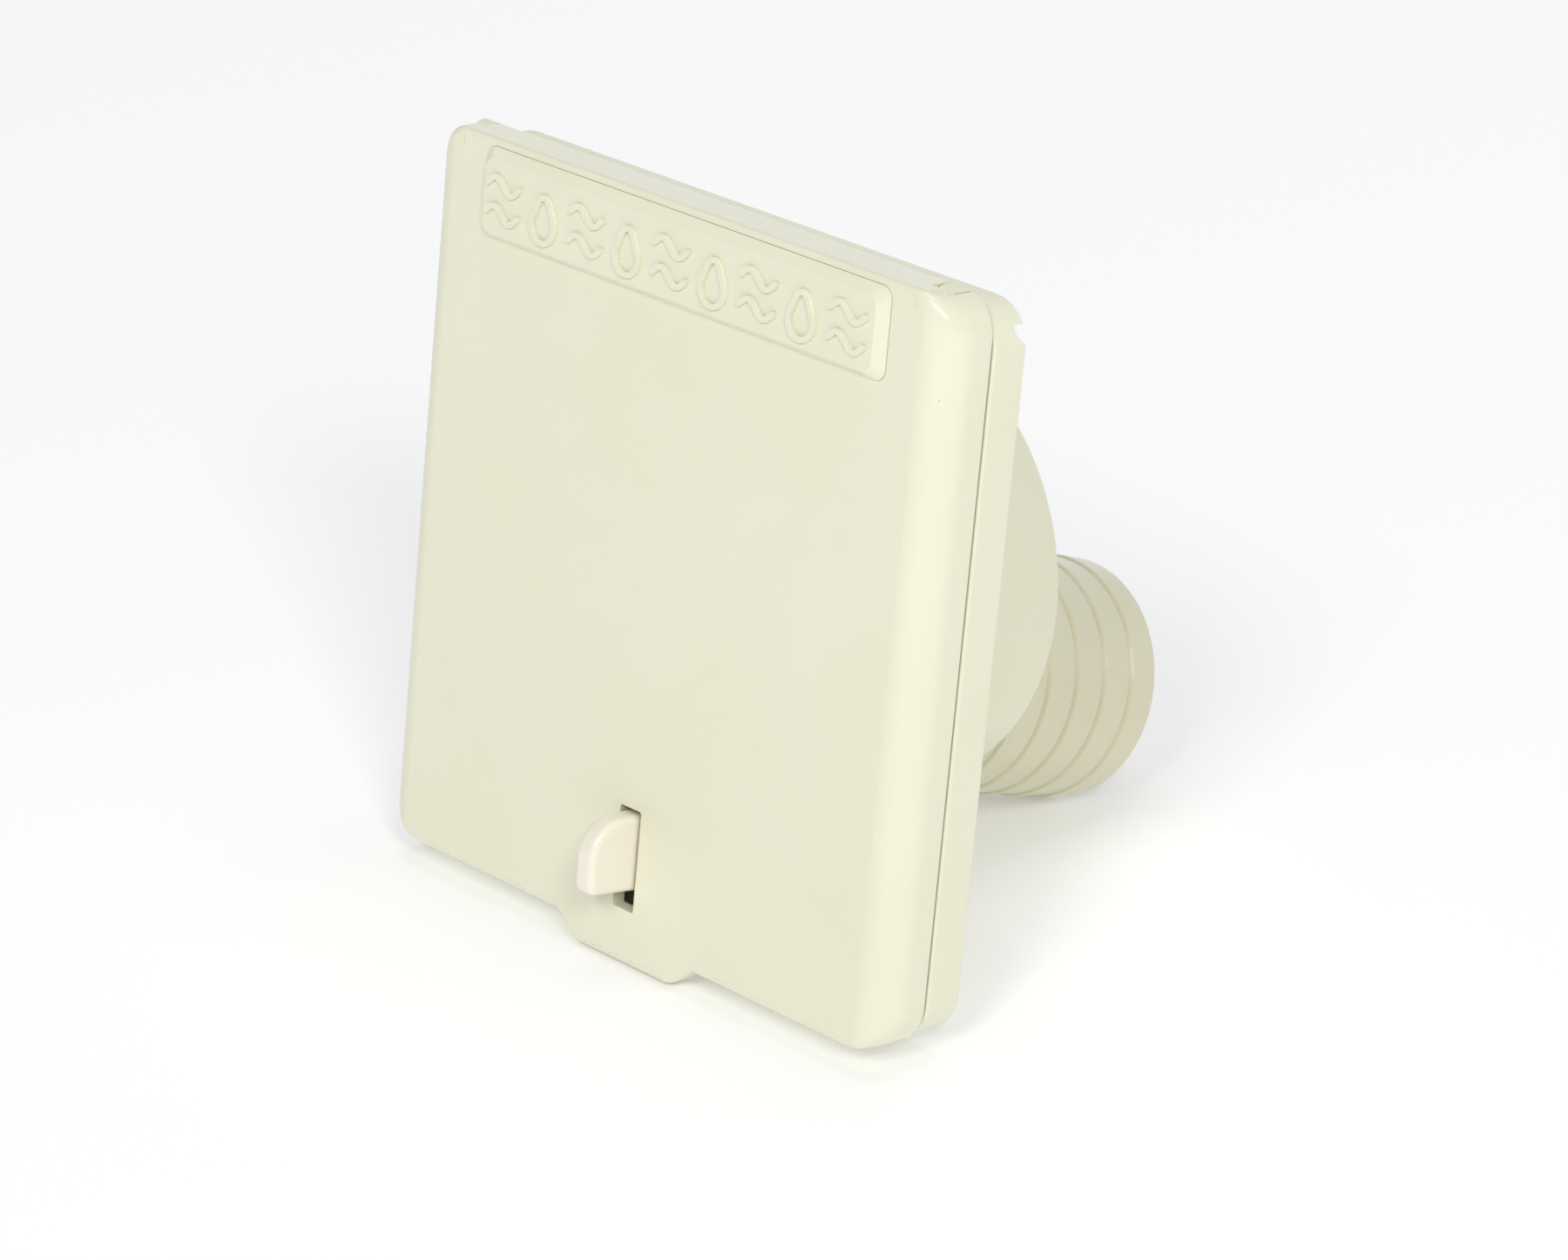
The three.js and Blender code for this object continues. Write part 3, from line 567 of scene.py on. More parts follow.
def mixed(tree, factor, first, second, blend="MIX"):
    """Two colours mixed by a factor."""
    node = add(tree, "Mix", data_type="RGBA", blend_type=blend)
    for socket, value in ((0, factor), (6, first), (7, second)):
        if isinstance(value, bpy.types.NodeSocket):
            tree.links.new(value, node.inputs[socket])
        else:
            node.inputs[socket].default_value = value
    return node.outputs[2]


def calc(tree, operation, *values):
    """One step of arithmetic."""
    return add(tree, "Math", dict(enumerate(values)), operation=operation).outputs[0]


def moulded_group():
    """Moulded plastic: mottled colour, uneven gloss and a fine grain."""
    inputs = [
        ("Colour", "Color", (0.8, 0.8, 0.8, 1)), ("Mottle", "Float", 0.03), ("Gloss", "Float", 0.35),
        ("Unevenness", "Float", 0.08), ("Grain size", "Float", 0.4 * MM), ("Grain", "Float", 0.5),
        ("Ripple", "Float", 0.5),
    ]
    outputs = [("Colour", "Color"), ("Roughness", "Float"), ("Height", "Float")]
    group, inlet, outlet = new_group("Moulded plastic", inputs, outputs)
    put = inlet.outputs
    cloud = noise(group, 45, 3)
    patch = noise(group, 260, 2)
    shift = calc(group, "MULTIPLY", between(group, cloud, 0.3, 0.7, -1, 1), put["Mottle"])
    value = calc(group, "ADD", shift, 1)
    blue = calc(group, "MULTIPLY_ADD", shift, 1.8, 1)
    tint = add(group, "CombineColor", {0: value, 1: value, 2: blue}).outputs[0]
    group.links.new(mixed(group, 1.0, put["Colour"], tint, "MULTIPLY"), outlet.inputs["Colour"])
    wander = calc(group, "MULTIPLY", between(group, patch, 0.25, 0.75, -1, 1), put["Unevenness"])
    group.links.new(calc(group, "ADD", put["Gloss"], wander), outlet.inputs["Roughness"])
    grain = noise(group, calc(group, "DIVIDE", 1, put["Grain size"]), 2, 0.6)
    ripple = calc(group, "MULTIPLY", noise(group, 95, 1), put["Ripple"])
    height = calc(group, "MULTIPLY_ADD", grain, put["Grain"], ripple)
    group.links.new(height, outlet.inputs["Height"])
    return group


def specks_group():
    """Small ragged specks trapped in or lying on the plastic, as a mask."""
    group, inlet, outlet = new_group(
        "Specks",
        [("Spacing", "Float", 11 * MM), ("Size", "Float", 0.016), ("Strength", "Float", 0.6)],
        [("Mask", "Float")],
    )
    put = inlet.outputs
    place = add(group, "TexCoord").outputs["Object"]
    jitter = add(group, "TexNoise", {"Vector": place, "Scale": 2400.0}).outputs["Color"]
    sway = 0.4 * MM
    ragged = {0: jitter, 1: (sway, sway, sway), 2: place}
    bent = add(group, "VectorMath", ragged, operation="MULTIPLY_ADD").outputs[0]
    scale = calc(group, "DIVIDE", 1, put["Spacing"])
    cells = add(group, "TexVoronoi", {"Vector": bent, "Scale": scale}).outputs
    size = calc(group, "MULTIPLY", put["Size"], cells["Color"])
    inside = calc(group, "LESS_THAN", cells["Distance"], size)
    group.links.new(calc(group, "MULTIPLY", inside, put["Strength"]), outlet.inputs["Mask"])
    return group


def crease_shade_group():
    """Painted shade in seams, grooves and sharp inner corners, found by ambient occlusion, as a mask."""
    group, inlet, outlet = new_group(
        "Crease shade", [("Reach", "Float", 1.2 * MM), ("Amount", "Float", 0.6)], [("Mask", "Float")]
    )
    put = inlet.outputs
    open_share = add(group, "AmbientOcclusion", {"Distance": put["Reach"]}, samples=6).outputs["AO"]
    closed = between(group, open_share, 0.1, 0.7, 1, 0)
    group.links.new(calc(group, "MULTIPLY", closed, put["Amount"]), outlet.inputs["Mask"])
    return group


def dust_group():
    """A thin film of dust that settles on faces that look up, as a mask."""
    group, inlet, outlet = new_group(
        "Dust film", [("Amount", "Float", 0.2), ("Patch size", "Float", 0.006)], [("Mask", "Float")]
    )
    put = inlet.outputs
    normal = add(group, "TexCoord").outputs["Normal"]
    upward = add(group, "SeparateXYZ", {0: normal}).outputs["Z"]
    facing = between(group, upward, 0.35, 0.95, 0, 1)
    cloud = noise(group, calc(group, "DIVIDE", 1, put["Patch size"]), 4, 0.65)
    cover = calc(group, "MULTIPLY", facing, between(group, cloud, 0.35, 0.75, 0.2, 1))
    group.links.new(calc(group, "MULTIPLY", cover, put["Amount"]), outlet.inputs["Mask"])
    return group


def shared_group(name, build):
    """The named shader group, built the first time it is asked for."""
    return bpy.data.node_groups.get(name) or build()


def place_group(tree, name, build, values):
    """A shared group placed in a material with its own values."""
    node = tree.nodes.new("ShaderNodeGroup")
    node.node_tree = shared_group(name, build)
    for key, value in values.items():
        node.inputs[key].default_value = value
    return node.outputs


# ---- materials ----

def new_material(name):
    """A material with its tree, Principled shader and no other node."""
    material = bpy.data.materials.new(name)
    material.use_nodes = True
    return material, material.node_tree, material.node_tree.nodes["Principled BSDF"]


def moulded_surface(tree, shader, values, bump):
    """Links the moulded plastic group's gloss and grain to a shader and returns its colour."""
    body = place_group(tree, "Moulded plastic", moulded_group, values)
    tree.links.new(body["Roughness"], shader.inputs["Roughness"])
    relief = add(tree, "Bump", {"Height": body["Height"], "Strength": bump, "Distance": 0.1 * MM})
    tree.links.new(relief.outputs["Normal"], shader.inputs["Normal"])
    return body["Colour"]


def plastic(name, base, seam, grain=0.5, grain_size=0.4, ripple=0.5, gloss=0.21, mottle=0.012,
            bump=0.08, coat=0.0, specks=0.0, dust=0.12):
    """Moulded plastic with grain, faint mottling, specks, painted shade in its seams and creases, and dust
    on its upper faces.
    """
    material, tree, shader = new_material(name)
    values = {"Colour": (*base, 1), "Mottle": mottle, "Gloss": gloss, "Unevenness": 0.02,
              "Grain size": grain_size * MM, "Grain": grain, "Ripple": ripple}
    tone = moulded_surface(tree, shader, values, bump)
    dusty = place_group(tree, "Dust film", dust_group, {"Amount": dust})
    look = mixed(tree, dusty["Mask"], tone, (0.60, 0.62, 0.56, 1))
    if specks:
        spots = place_group(tree, "Specks", specks_group, {"Strength": specks})
        look = mixed(tree, spots["Mask"], look, (0.23, 0.2, 0.12, 1))
    # Painted shade: ambient occlusion darkens seams and creases towards the warm seam colour.
    creases = place_group(tree, "Crease shade", crease_shade_group, {"Amount": 0.7})
    look = mixed(tree, creases["Mask"], look, (*seam, 1))
    tree.links.new(look, shader.inputs["Base Color"])
    shader.inputs["Specular IOR Level"].default_value = 0.6
    shader.inputs["IOR"].default_value = 1.49
    shader.inputs["Coat Weight"].default_value = coat
    shader.inputs["Coat Roughness"].default_value = 0.12
    return material


def rubber(name, base, gloss=0.62):
    """Soft rubber with a dull, dusty skin."""
    material, tree, shader = new_material(name)
    values = {"Colour": (*base, 1), "Mottle": 0.15, "Gloss": gloss, "Unevenness": 0.12,
              "Grain size": 0.25 * MM, "Grain": 0.8}
    tone = moulded_surface(tree, shader, values, 0.3)
    dusty = place_group(tree, "Dust film", dust_group, {"Amount": 0.1})
    look = mixed(tree, dusty["Mask"], tone, (0.3, 0.29, 0.26, 1))
    tree.links.new(look, shader.inputs["Base Color"])
    shader.inputs["Specular IOR Level"].default_value = 0.35
    return material


def metal(name, base, stain, stained):
    """Steel with fine drawing lines and a stain that covers part of it."""
    material, tree, shader = new_material(name)
    place = add(tree, "TexCoord").outputs["Object"]
    stretch = add(tree, "Mapping", {"Vector": place, "Scale": (0.25, 1, 1)})
    drawn = {"Vector": stretch.outputs[0], "Scale": 5200.0, "Detail": 3.0}
    lines = add(tree, "TexNoise", drawn).outputs["Fac"]
    patches = noise(tree, 900, 4, 0.6)
    cover = between(tree, patches, 0.62 - stained * 0.5, 0.72 - stained * 0.5, 0, 1)
    tree.links.new(mixed(tree, cover, (*base, 1), (*stain, 1)), shader.inputs["Base Color"])
    tree.links.new(between(tree, lines, 0.3, 0.7, 0.22, 0.42), shader.inputs["Roughness"])
    tree.links.new(between(tree, cover, 0, 1, 1, 0.25), shader.inputs["Metallic"])
    relief = add(tree, "Bump", {"Height": lines, "Strength": 0.15, "Distance": 0.05 * MM})
    tree.links.new(relief.outputs["Normal"], shader.inputs["Normal"])
    return material


def finish(context, name):
    """The named finish of the hatch, made the first time it is asked for."""
    found = bpy.data.materials.get(name)
    if found:
        return found
    tint = context.scene.hatch_colours
    ivory = (name, tint.ivory, tint.seam)
    makers = {
        "Ivory satin plastic": lambda: plastic(*ivory, specks=0.55),
        "Ivory flange plastic": lambda: plastic(
            *ivory, grain=1.0, grain_size=0.55, gloss=0.42, bump=0.35, specks=0.4),
        "Ivory dish plastic": lambda: plastic(
            *ivory, grain=0.8, gloss=0.38, bump=0.25, mottle=0.02, specks=0.3),
        # Painted shade: the spout's darker base colour stands for shade on it.
        "Shaded ivory spout plastic": lambda: plastic(
            name, tint.spout, tint.seam, grain=0.25, ripple=0.2, gloss=0.3, bump=0.04, coat=0.25, dust=0.0),
        "Cream latch plastic": lambda: plastic(
            name, tint.cream, tint.seam, grain=0.3, gloss=0.24, bump=0.06),
        "Black rubber": lambda: rubber(name, tint.rubber),
        "Tether elastomer": lambda: rubber(name, tint.tether, 0.5),
        "Stainless steel": lambda: metal(name, tint.steel, (0.42, 0.41, 0.39), 0.1),
        "Rusty spring steel": lambda: metal(name, (0.42, 0.40, 0.38), tint.rust, 0.45),
    }
    return makers[name]()


# ---- forms shared by several pieces ----

def spout_place(sizes):
    """The matrix that turns a piece made along Y onto the spout's axis."""
    fall = math.atan2(-SPOUT_AXIS.z, SPOUT_AXIS.y)
    return Matrix.Translation((0, DISH_HIGH.y, sizes.z)) @ Matrix.Rotation(-fall, 4, "X")


def mouth_outline(sizes, margin, steps=72):
    """The fill mouth grown by a margin, in (x, z): a circle with a flat chord and rounded corners."""
    radius = sizes.mouth + margin
    turn = sizes.mouth_corner + margin
    low = sizes.chord - margin + turn
    across = math.sqrt((radius - turn) ** 2 - (low - DISH_Z) ** 2)
    slant = math.degrees(math.atan2(low - DISH_Z, across))
    points = arc((0, DISH_Z), radius, slant, 180 - slant, steps)
    points += arc((-across, low), turn, 180 - slant, 270, 8)[1:]
    points += arc((across, low), turn, 270, 360 + slant, 8)[:-1]
    return points


def mouth_ring(name, sizes, outer, inner, y0, y1, edge):
    """A ring that follows the mouth, with softly rounded edges."""
    steps = 4
    corners = ((inner, y0, 1, 1), (outer, y0, -1, 1), (outer, y1, -1, -1), (inner, y1, 1, -1))
    section = []
    for margin, y, slope, rise in corners:
        order = range(steps + 1) if slope * rise < 0 else range(steps, -1, -1)
        for k in order:
            angle = math.radians(90 * k / steps)
            across = margin + slope * edge * (1 - math.sin(angle))
            section.append((across, y + rise * edge * (1 - math.cos(angle))))
    outlines = [[(x, y, z) for x, z in mouth_outline(sizes, margin)] for margin, y in section]
    return skinned(name, outlines, looped=True)


def barrel_outline(radius, front, low, high):
    """A lug's (y, z) outline: square towards the front and round about the hinge line at the back."""
    nose = arc((HINGE.y, HINGE.z), radius, -90, 90, 16)
    return [(front, low), *nose, (front, high)]


# ---- pieces ----

def tray(sizes, front, plate_back):
    """The flange's plate and skirt, with their moulded edges."""
    half, high = FLANGE_HIGH.x, sizes.height / 2
    front_edge, inner_edge = 0.5 * MM, 0.8 * MM
    least_corner = 0.8 * MM
    rings = []

    def ring(inset, y):
        corners = rectangle(-half + inset, half - inset, -high + inset, high - inset)
        points = rounded(corners, max(sizes.corner - inset, least_corner), 10)
        rings.append([(x, y, z) for x, z in points])

    for depth in round_depths(front_edge, steps=4):
        ring(edge_inset(front_edge, depth), front + depth)
    for depth in reversed(round_depths(sizes.edge, steps=3)):
        ring(edge_inset(sizes.edge, depth), -depth)
    for depth in round_depths(sizes.edge, steps=3):
        ring(sizes.skirt - edge_inset(sizes.edge, depth), -depth)
    for depth in reversed(round_depths(inner_edge, steps=4)):
        ring(sizes.skirt + edge_inset(inner_edge, depth), plate_back + depth)
    return skinned("flange", rings)


def collar(plate_back):
    """The ring behind the plate that centres the dish."""
    inner = DISH_HIGH.x + GAP
    outer = inner + 1.5 * MM
    start, end = plate_back - BITE, -1.4 * MM
    corners = [(inner, start), (outer, start), (outer, end), (inner, end)]
    return moved(turned("collar", rounded(corners, 0.2 * MM, 3)), 0, DISH_Z)


def hinge_ear(sizes, side):
    """A hinge ear: a tab from the plate that ends in a round nose about the hinge line."""
    root = -sizes.depth + 1 * MM
    nose = arc((HINGE.y, HINGE.z), sizes.ear_radius, -90, -360, 28)
    outline = [(root, HINGE.z - sizes.ear_radius), *nose, (root, HINGE.z)]
    return pulled("ear", outline, "X", *span(side, sizes.ear_inner, sizes.ear_outer))


def screw_hole(sizes, front):
    """A cutter for a countersunk screw hole."""
    start = front - 4 * MM
    sink = front + 0.2 * MM
    throat = sink + sizes.countersink - sizes.hole
    profile = [
        (0, start), (sizes.countersink, start), (sizes.countersink, sink),
        (sizes.hole, throat), (sizes.hole, PAST), (0, PAST)]
    return turned("hole", profile, 48)


def keeper_slot(latch, side, front, plate_back):
    """Two cutters: the slot that a hook's nose passes, and the space for the nose behind the plate."""
    x0, x1 = span(side, latch.hook_inner - GAP, latch.hook_outer + GAP)
    low = -45 * MM
    meet = plate_back + 0.05 * MM
    slot = block((x0, front - PAST, low), (x1, meet, latch.hook_top + GAP))
    space = block((x0, plate_back, low), (x1, PAST, latch.hook_nose + GAP))
    return slot, space


def skirt_bite(sizes, side):
    """A cutter for the bite in the back edge of the skirt's side."""
    depth = sizes.notch_depth
    outline = [
        (-depth, sizes.notch_top), (PAST, sizes.notch_top),
        (PAST, sizes.notch_bottom - PAST), (-depth, sizes.notch_bottom + depth)]
    half = FLANGE_HIGH.x
    return pulled("bite", outline, "X", *span(side, half + PAST, half - sizes.skirt - PAST))


def flange(sizes, latch, material):
    """The flange: a tray with screw bosses, hinge ears, keeper slots and the fill mouth's rim."""
    front = -sizes.depth
    plate_back = front + sizes.plate
    boss_radius = sizes.countersink + 0.2 * MM
    pin_hole = 1.1 * MM
    body = join(tray(sizes, front, plate_back), collar(plate_back))
    join(body, pulled("rim", mouth_outline(sizes, sizes.rim), "Y", front - sizes.rim_height, plate_back))
    for side in SIDES:
        join(body, hinge_ear(sizes, side))
        for level in SIDES:
            boss = rod(boss_radius, plate_back - BITE, 0, 48)
            join(body, moved(boss, side * sizes.hole_x, level * sizes.hole_z))
    cut(body, pulled("mouth", mouth_outline(sizes, 0), "Y", front - 5 * MM, PAST))
    for side in SIDES:
        for level in SIDES:
            cut(body, moved(screw_hole(sizes, front), side * sizes.hole_x, level * sizes.hole_z))
        x0, x1 = span(side, sizes.ear_inner - PAST, sizes.ear_outer + PAST)
        cut(body, rod_x(pin_hole, x0, x1, HINGE.y, HINGE.z))
        cut(body, *keeper_slot(latch, side, front, plate_back))
        cut(body, skirt_bite(sizes, side))
    soften(body, 0.16 * MM, 2)
    return settle(body, "flange", "frame", ["mounting_frame"], material)


def lid_outline(sizes, side, low, high, lip):
    """One (x, z) outline of the lid, stepped in at its sides, bottom and top, with a share of the lip."""
    half = LID_HIGH.x - side
    bottom = LID_LOW.z + sizes.lip_drop + low
    top = LID_HIGH.z - high
    radius = max(sizes.corner - side, 1.5 * MM)
    right, left = half - radius, -half + radius
    points = arc((right, top - radius), radius, 0, 90, 10)
    points += arc((left, top - radius), radius, 90, 180, 10)
    points += arc((left, bottom + radius), radius, 180, 270, 10)
    steps = 56
    for i in range(steps + 1):
        x = sizes.lip_root * (2 * i / steps - 1)
        t = min(max((sizes.lip_root - abs(x)) / (sizes.lip_root - sizes.lip_flat), 0), 1)
        points.append((x, bottom - lip * sizes.lip_drop * t * t * (3 - 2 * t)))
    points += arc((right, bottom + radius), radius, 270, 360, 10)
    return points


def lid_form(sizes):
    """The lid's hollow shell with its rounded edges and finger lip."""
    front, back = LID_LOW.y, LID_HIGH.y
    back_edge, inner_edge = 0.3 * MM, 1 * MM
    rings = []

    def ring(y, side, low, high, lip):
        rings.append([(x, y, z) for x, z in lid_outline(sizes, side, low, high, lip)])

    for depth in round_depths(sizes.side_round, sizes.bottom_round, sizes.top_round):
        if depth < sizes.lip_depth:
            low, high = edge_inset(sizes.bottom_round, depth), edge_inset(sizes.top_round, depth)
            ring(front + depth, edge_inset(sizes.side_round, depth), low, high, 1)
    for share, setback in ((1, 0.4), (0.94, 0.16), (0.8, 0), (0, 0)):
        depth = sizes.lip_depth - setback * MM
        ring(front + depth, edge_inset(sizes.side_round, depth), 0, 0, share)
    for depth in round_depths(sizes.side_round):
        if depth > sizes.lip_depth:
            ring(front + depth, edge_inset(sizes.side_round, depth), 0, 0, 0)
    for depth in reversed(round_depths(back_edge, steps=3)):
        inset = edge_inset(back_edge, depth)
        ring(back - depth, inset, inset, inset, 0)
    for depth in round_depths(back_edge, steps=3):
        inset = sizes.wall - edge_inset(back_edge, depth)
        ring(back - depth, inset, inset, inset, 0)
    inner_round = sizes.side_round - sizes.wall
    for depth in reversed(round_depths(inner_round, steps=6)):
        side = sizes.wall + edge_inset(inner_round, depth)
        inset = sizes.wall + edge_inset(inner_edge, depth)
        ring(front + sizes.wall + depth, side, inset, inset, 0)
    return skinned("lid", rings)


def add_lid_ribs(body, sizes, flange_sizes, latch, inside):
    """Joins on what stands inside the lid: hinge lugs, screw pads, guide ribs and the gasket's rib."""
    sunk = inside - BITE
    plate_back = inside + latch.plate + GAP
    guide = SLIDER_HIGH.x + GAP
    lug_radius = LID_HIGH.z - HINGE.z - 0.05 * MM
    lug = barrel_outline(lug_radius, sunk, HINGE.z - lug_radius, LID_HIGH.z - 0.4 * MM)
    for side in SIDES:
        join(body, pulled("lug", lug, "X", *span(side, sizes.lug_inner, flange_sizes.ear_inner - GAP)))
        x0, x1 = span(side, guide, latch.screw_x + 2 * MM)
        join(body, block((x0, sunk, RETAINER_LOW.z), (x1, plate_back, RETAINER_HIGH.z)))
        x0, x1 = span(side, guide, guide + sizes.guide_rib)
        join(body, block((x0, sunk, sizes.slot_bottom), (x1, plate_back, RETAINER_LOW.z + BITE)))
    rib_inner, rib_outer, rib_height = -2.1 * MM, -0.4 * MM, 1.8 * MM
    join(body, mouth_ring("rib", flange_sizes, rib_outer, rib_inner, sunk, inside + rib_height, 0.2 * MM))


def hinge_corner():
    """A cutter that rounds the lid's upper back edge about the hinge line."""
    half = 50 * MM
    corner = pulled("corner", rectangle(HINGE.y, 0, HINGE.z, LID_HIGH.z + PAST), "X", -half, half)
    return cut(corner, rod_x(LID_HIGH.z - HINGE.z, -half - PAST, half + PAST, HINGE.y, HINGE.z, 96))


def label_pocket(label, front):
    """A cutter for the pocket that the label plate sits in."""
    seam = label.seam
    corners = rectangle(LABEL_LOW.x - seam, LABEL_HIGH.x + seam, LABEL_LOW.z - seam, LABEL_HIGH.z + seam)
    return pulled("pocket", rounded(corners, label.corner + seam, 6), "Y", front - PAST, LABEL_HIGH.y + GAP)


def moulding_tick(sizes, side, front):
    """A short raised tick at the lid's top edge."""
    half = 0.22 * MM
    x, high = side * sizes.tick_x, LID_HIGH.z - 0.25 * MM
    outline = rounded(rectangle(x - half, x + half, high - sizes.tick, high), 0.15 * MM, 3)
    return pulled("tick", outline, "Y", front - 0.12 * MM, front + 1 * MM)


def lid(sizes, flange_sizes, label, latch, material):
    """The lid, with its inner ribs and lugs, latch slot, label pocket and pin and screw holes."""
    body = lid_form(sizes)
    front = LID_LOW.y
    inside = front + sizes.wall
    add_lid_ribs(body, sizes, flange_sizes, latch, inside)
    cut(body, hinge_corner())
    corners = rectangle(-sizes.slot_half, sizes.slot_half, sizes.slot_bottom, sizes.slot_top)
    cut(body, pulled("slot", rounded(corners, 0.3 * MM, 3), "Y", front - PAST, inside + PAST))
    cut(body, label_pocket(label, front))
    pin_start, pin_hole = 30 * MM, 1.2 * MM
    pilot_radius, pilot_sunk, pilot_reach = 1.3 * MM, 0.9 * MM, 5 * MM
    beside = sizes.ear_gap
    reach = flange_sizes.ear_radius + beside
    for side in SIDES:
        x0, x1 = span(side, flange_sizes.ear_inner - beside, flange_sizes.ear_outer + beside)
        cut(body, block((x0, HINGE.y - reach, HINGE.z - reach), (x1, 0, LID_HIGH.z + PAST)))
        x0, x1 = span(side, pin_start, flange_sizes.ear_inner)
        cut(body, rod_x(pin_hole, x0, x1, HINGE.y, HINGE.z))
        pilot = rod(pilot_radius, inside - pilot_sunk, inside + pilot_reach, 32)
        cut(body, moved(pilot, side * latch.screw_x, RETAINER_Z))
    soften(body, sizes.edge, 2)
    for side in SIDES:
        join(body, moulding_tick(sizes, side, front))
    return settle(body, "cover", "lid", ["lid"], material)


def stroke(path, width, low, high, closed=False):
    """A raised line with steep sides along a flat (x, z) path, between two depths, with round ends."""
    points = [Vector(p) for p in path]
    count = len(points)
    stations = []
    for i, here in enumerate(points):
        before = points[i - 1] if i or closed else here
        after = points[(i + 1) % count] if i + 1 < count or closed else here
        stations.append((here, (after - before).normalized(), 1.0))
    if not closed:
        turns = [math.radians(angle) for angle in (12, 35, 60)]
        (start, onward, _), (end, outward, _) = stations[0], stations[-1]
        head = [(start - onward * width / 2 * math.cos(a), onward, math.sin(a)) for a in turns]
        tail = [(end + outward * width / 2 * math.cos(a), outward, math.sin(a)) for a in reversed(turns)]
        stations = head + stations + tail
    rings = []
    for here, along, share in stations:
        side = Vector((-along.y, along.x)) * width * share
        section = ((-0.5, low), (-0.41, high), (0.41, high), (0.5, low))
        rings.append([(here.x + side.x * s, y, here.y + side.y * s) for s, y in section])
    return skinned("stroke", rings, looped=closed)


def drop_path(x, low, height):
    """The outline of a water drop that stands on a level, as a closed (x, z) path."""
    radius = height * 0.3
    middle = low + radius
    lean = math.degrees(math.asin(radius / (height - radius)))
    side = arc((x, middle), radius, 180 - lean, 360 + lean, 28)
    return rounded([(x, low + height), *side], [radius * 0.45] + [0] * len(side), 6)


def wave_path(x, z, width, swing, steps=20):
    """A short running wave, as an open (x, z) path."""
    shares = [i / steps for i in range(steps + 1)]
    return [(x + width * (t - 0.5), z + swing * math.sin(2 * math.pi * t)) for t in shares]


def ornament(sizes, left, right, low, high):
    """The paths of the plate's ornament: drops of water between pairs of short waves."""
    cell = (right - left) / sizes.cells
    height = high - low
    paths = []
    for i in range(sizes.cells):
        x = left + cell * (i + 0.5)
        if i % 2:
            paths.append((drop_path(x, low, height), True))
        else:
            for share in (0.24, 0.76):
                paths.append((wave_path(x, low + height * share, cell * 0.74, height * 0.13), False))
    return paths


def label_plate(sizes, material):
    """The label plate, bevelled all round, with its raised ornament."""
    front = LABEL_LOW.y
    drop = LID_LOW.y - front - 0.1 * MM
    bevels = (sizes.bevel, sizes.end_bevel, sizes.bevel, sizes.top_bevel)
    rings = []

    def ring(y, left, right, low, high):
        corners = rectangle(LABEL_LOW.x + left, LABEL_HIGH.x - right, LABEL_LOW.z + low, LABEL_HIGH.z - high)
        rings.append([(x, y, z) for x, z in rounded(corners, sizes.corner, 8)])

    for down, inward in ((0, 1), (0.01, 0.97), (0.05, 0.92), (0.92, 0.08), (0.98, 0.03), (1, 0)):
        ring(front + down * drop, *(width * inward for width in bevels))
    ring(LABEL_HIGH.y, 0, 0, 0, 0)
    body = skinned("label", rings)
    left = LABEL_LOW.x + sizes.bevel
    right = LABEL_HIGH.x - sizes.end_bevel - 0.3 * MM
    low = LABEL_LOW.z + sizes.bevel + sizes.margin
    high = LABEL_HIGH.z - sizes.top_bevel - sizes.margin
    sunk, raised = front + 0.25 * MM, front - sizes.relief
    paths = ornament(sizes, left, right, low, high)
    join(body, bundled([stroke(path, sizes.stroke, sunk, raised, closed) for path, closed in paths]))
    return settle(body, "label_plate_relief", "lid", ["label_plate"], material)


def gasket(flange_sizes, material):
    """The lid's seal, a ring that follows the mouth's rim."""
    inner, outer, edge = 0.2 * MM, 2.6 * MM, 0.7 * MM
    ring = mouth_ring("gasket", flange_sizes, outer, inner, GASKET_LOW.y, GASKET_HIGH.y, edge)
    return settle(ring, "lid_seal", "lid", ["lid_gasket"], material)


def thumb_fin(sizes):
    """The fin that the thumb presses, rounded all along its outline."""
    root = LID_LOW.y + 2.5 * MM
    tip = SLIDER_LOW.y
    crest = sizes.fin_top + sizes.fin_rise
    foot = sizes.fin_bottom + sizes.fin_lift
    corners = [(root, sizes.fin_top), (tip, crest), (tip, foot), (root, sizes.fin_bottom)]
    outline = rounded(corners, [0, sizes.fin_corner, sizes.fin_heel, 0], 12)
    fin = pulled("fin", outline, "X", -sizes.fin_half, sizes.fin_half)
    return soften(fin, sizes.fin_edge, 6, 60)


def hook(sizes, side, back):
    """A hook with a chamfered nose that catches behind the flange's plate."""
    root = back - BITE
    chamfer = 0.6 * MM
    outline = [
        (root, SLIDER_LOW.z), (SLIDER_HIGH.y, SLIDER_LOW.z), (SLIDER_HIGH.y, sizes.hook_top - chamfer),
        (sizes.hook_catch + chamfer, sizes.hook_nose), (sizes.hook_catch, sizes.hook_nose),
        (sizes.hook_catch, sizes.hook_top), (root, sizes.hook_top)]
    return pulled("hook", outline, "X", *span(side, sizes.hook_inner, sizes.hook_outer))


def latch_slider(sizes, material):
    """The slider: fin, plate, spring seat and two hooks."""
    front = LID_LOW.y + 2.3 * MM
    back = front + sizes.plate
    seat_low, seat_high, seat_back = -37.5 * MM, -34.5 * MM, -6.4 * MM
    body = block((SLIDER_LOW.x, front, sizes.plate_bottom), (SLIDER_HIGH.x, back, SLIDER_HIGH.z))
    for side in SIDES:
        x0, x1 = span(side, sizes.hook_inner, sizes.hook_outer)
        join(body, block((x0, front, SLIDER_LOW.z), (x1, back, sizes.plate_bottom + BITE)))
        join(body, hook(sizes, side, back))
    join(body, block((-sizes.seat_half, back - BITE, seat_low), (sizes.seat_half, seat_back, seat_high)))
    soften(body, 0.18 * MM, 2)
    join(body, thumb_fin(sizes))
    return settle(body, "thumb_latch", "latch", ["latch_slider"], material)


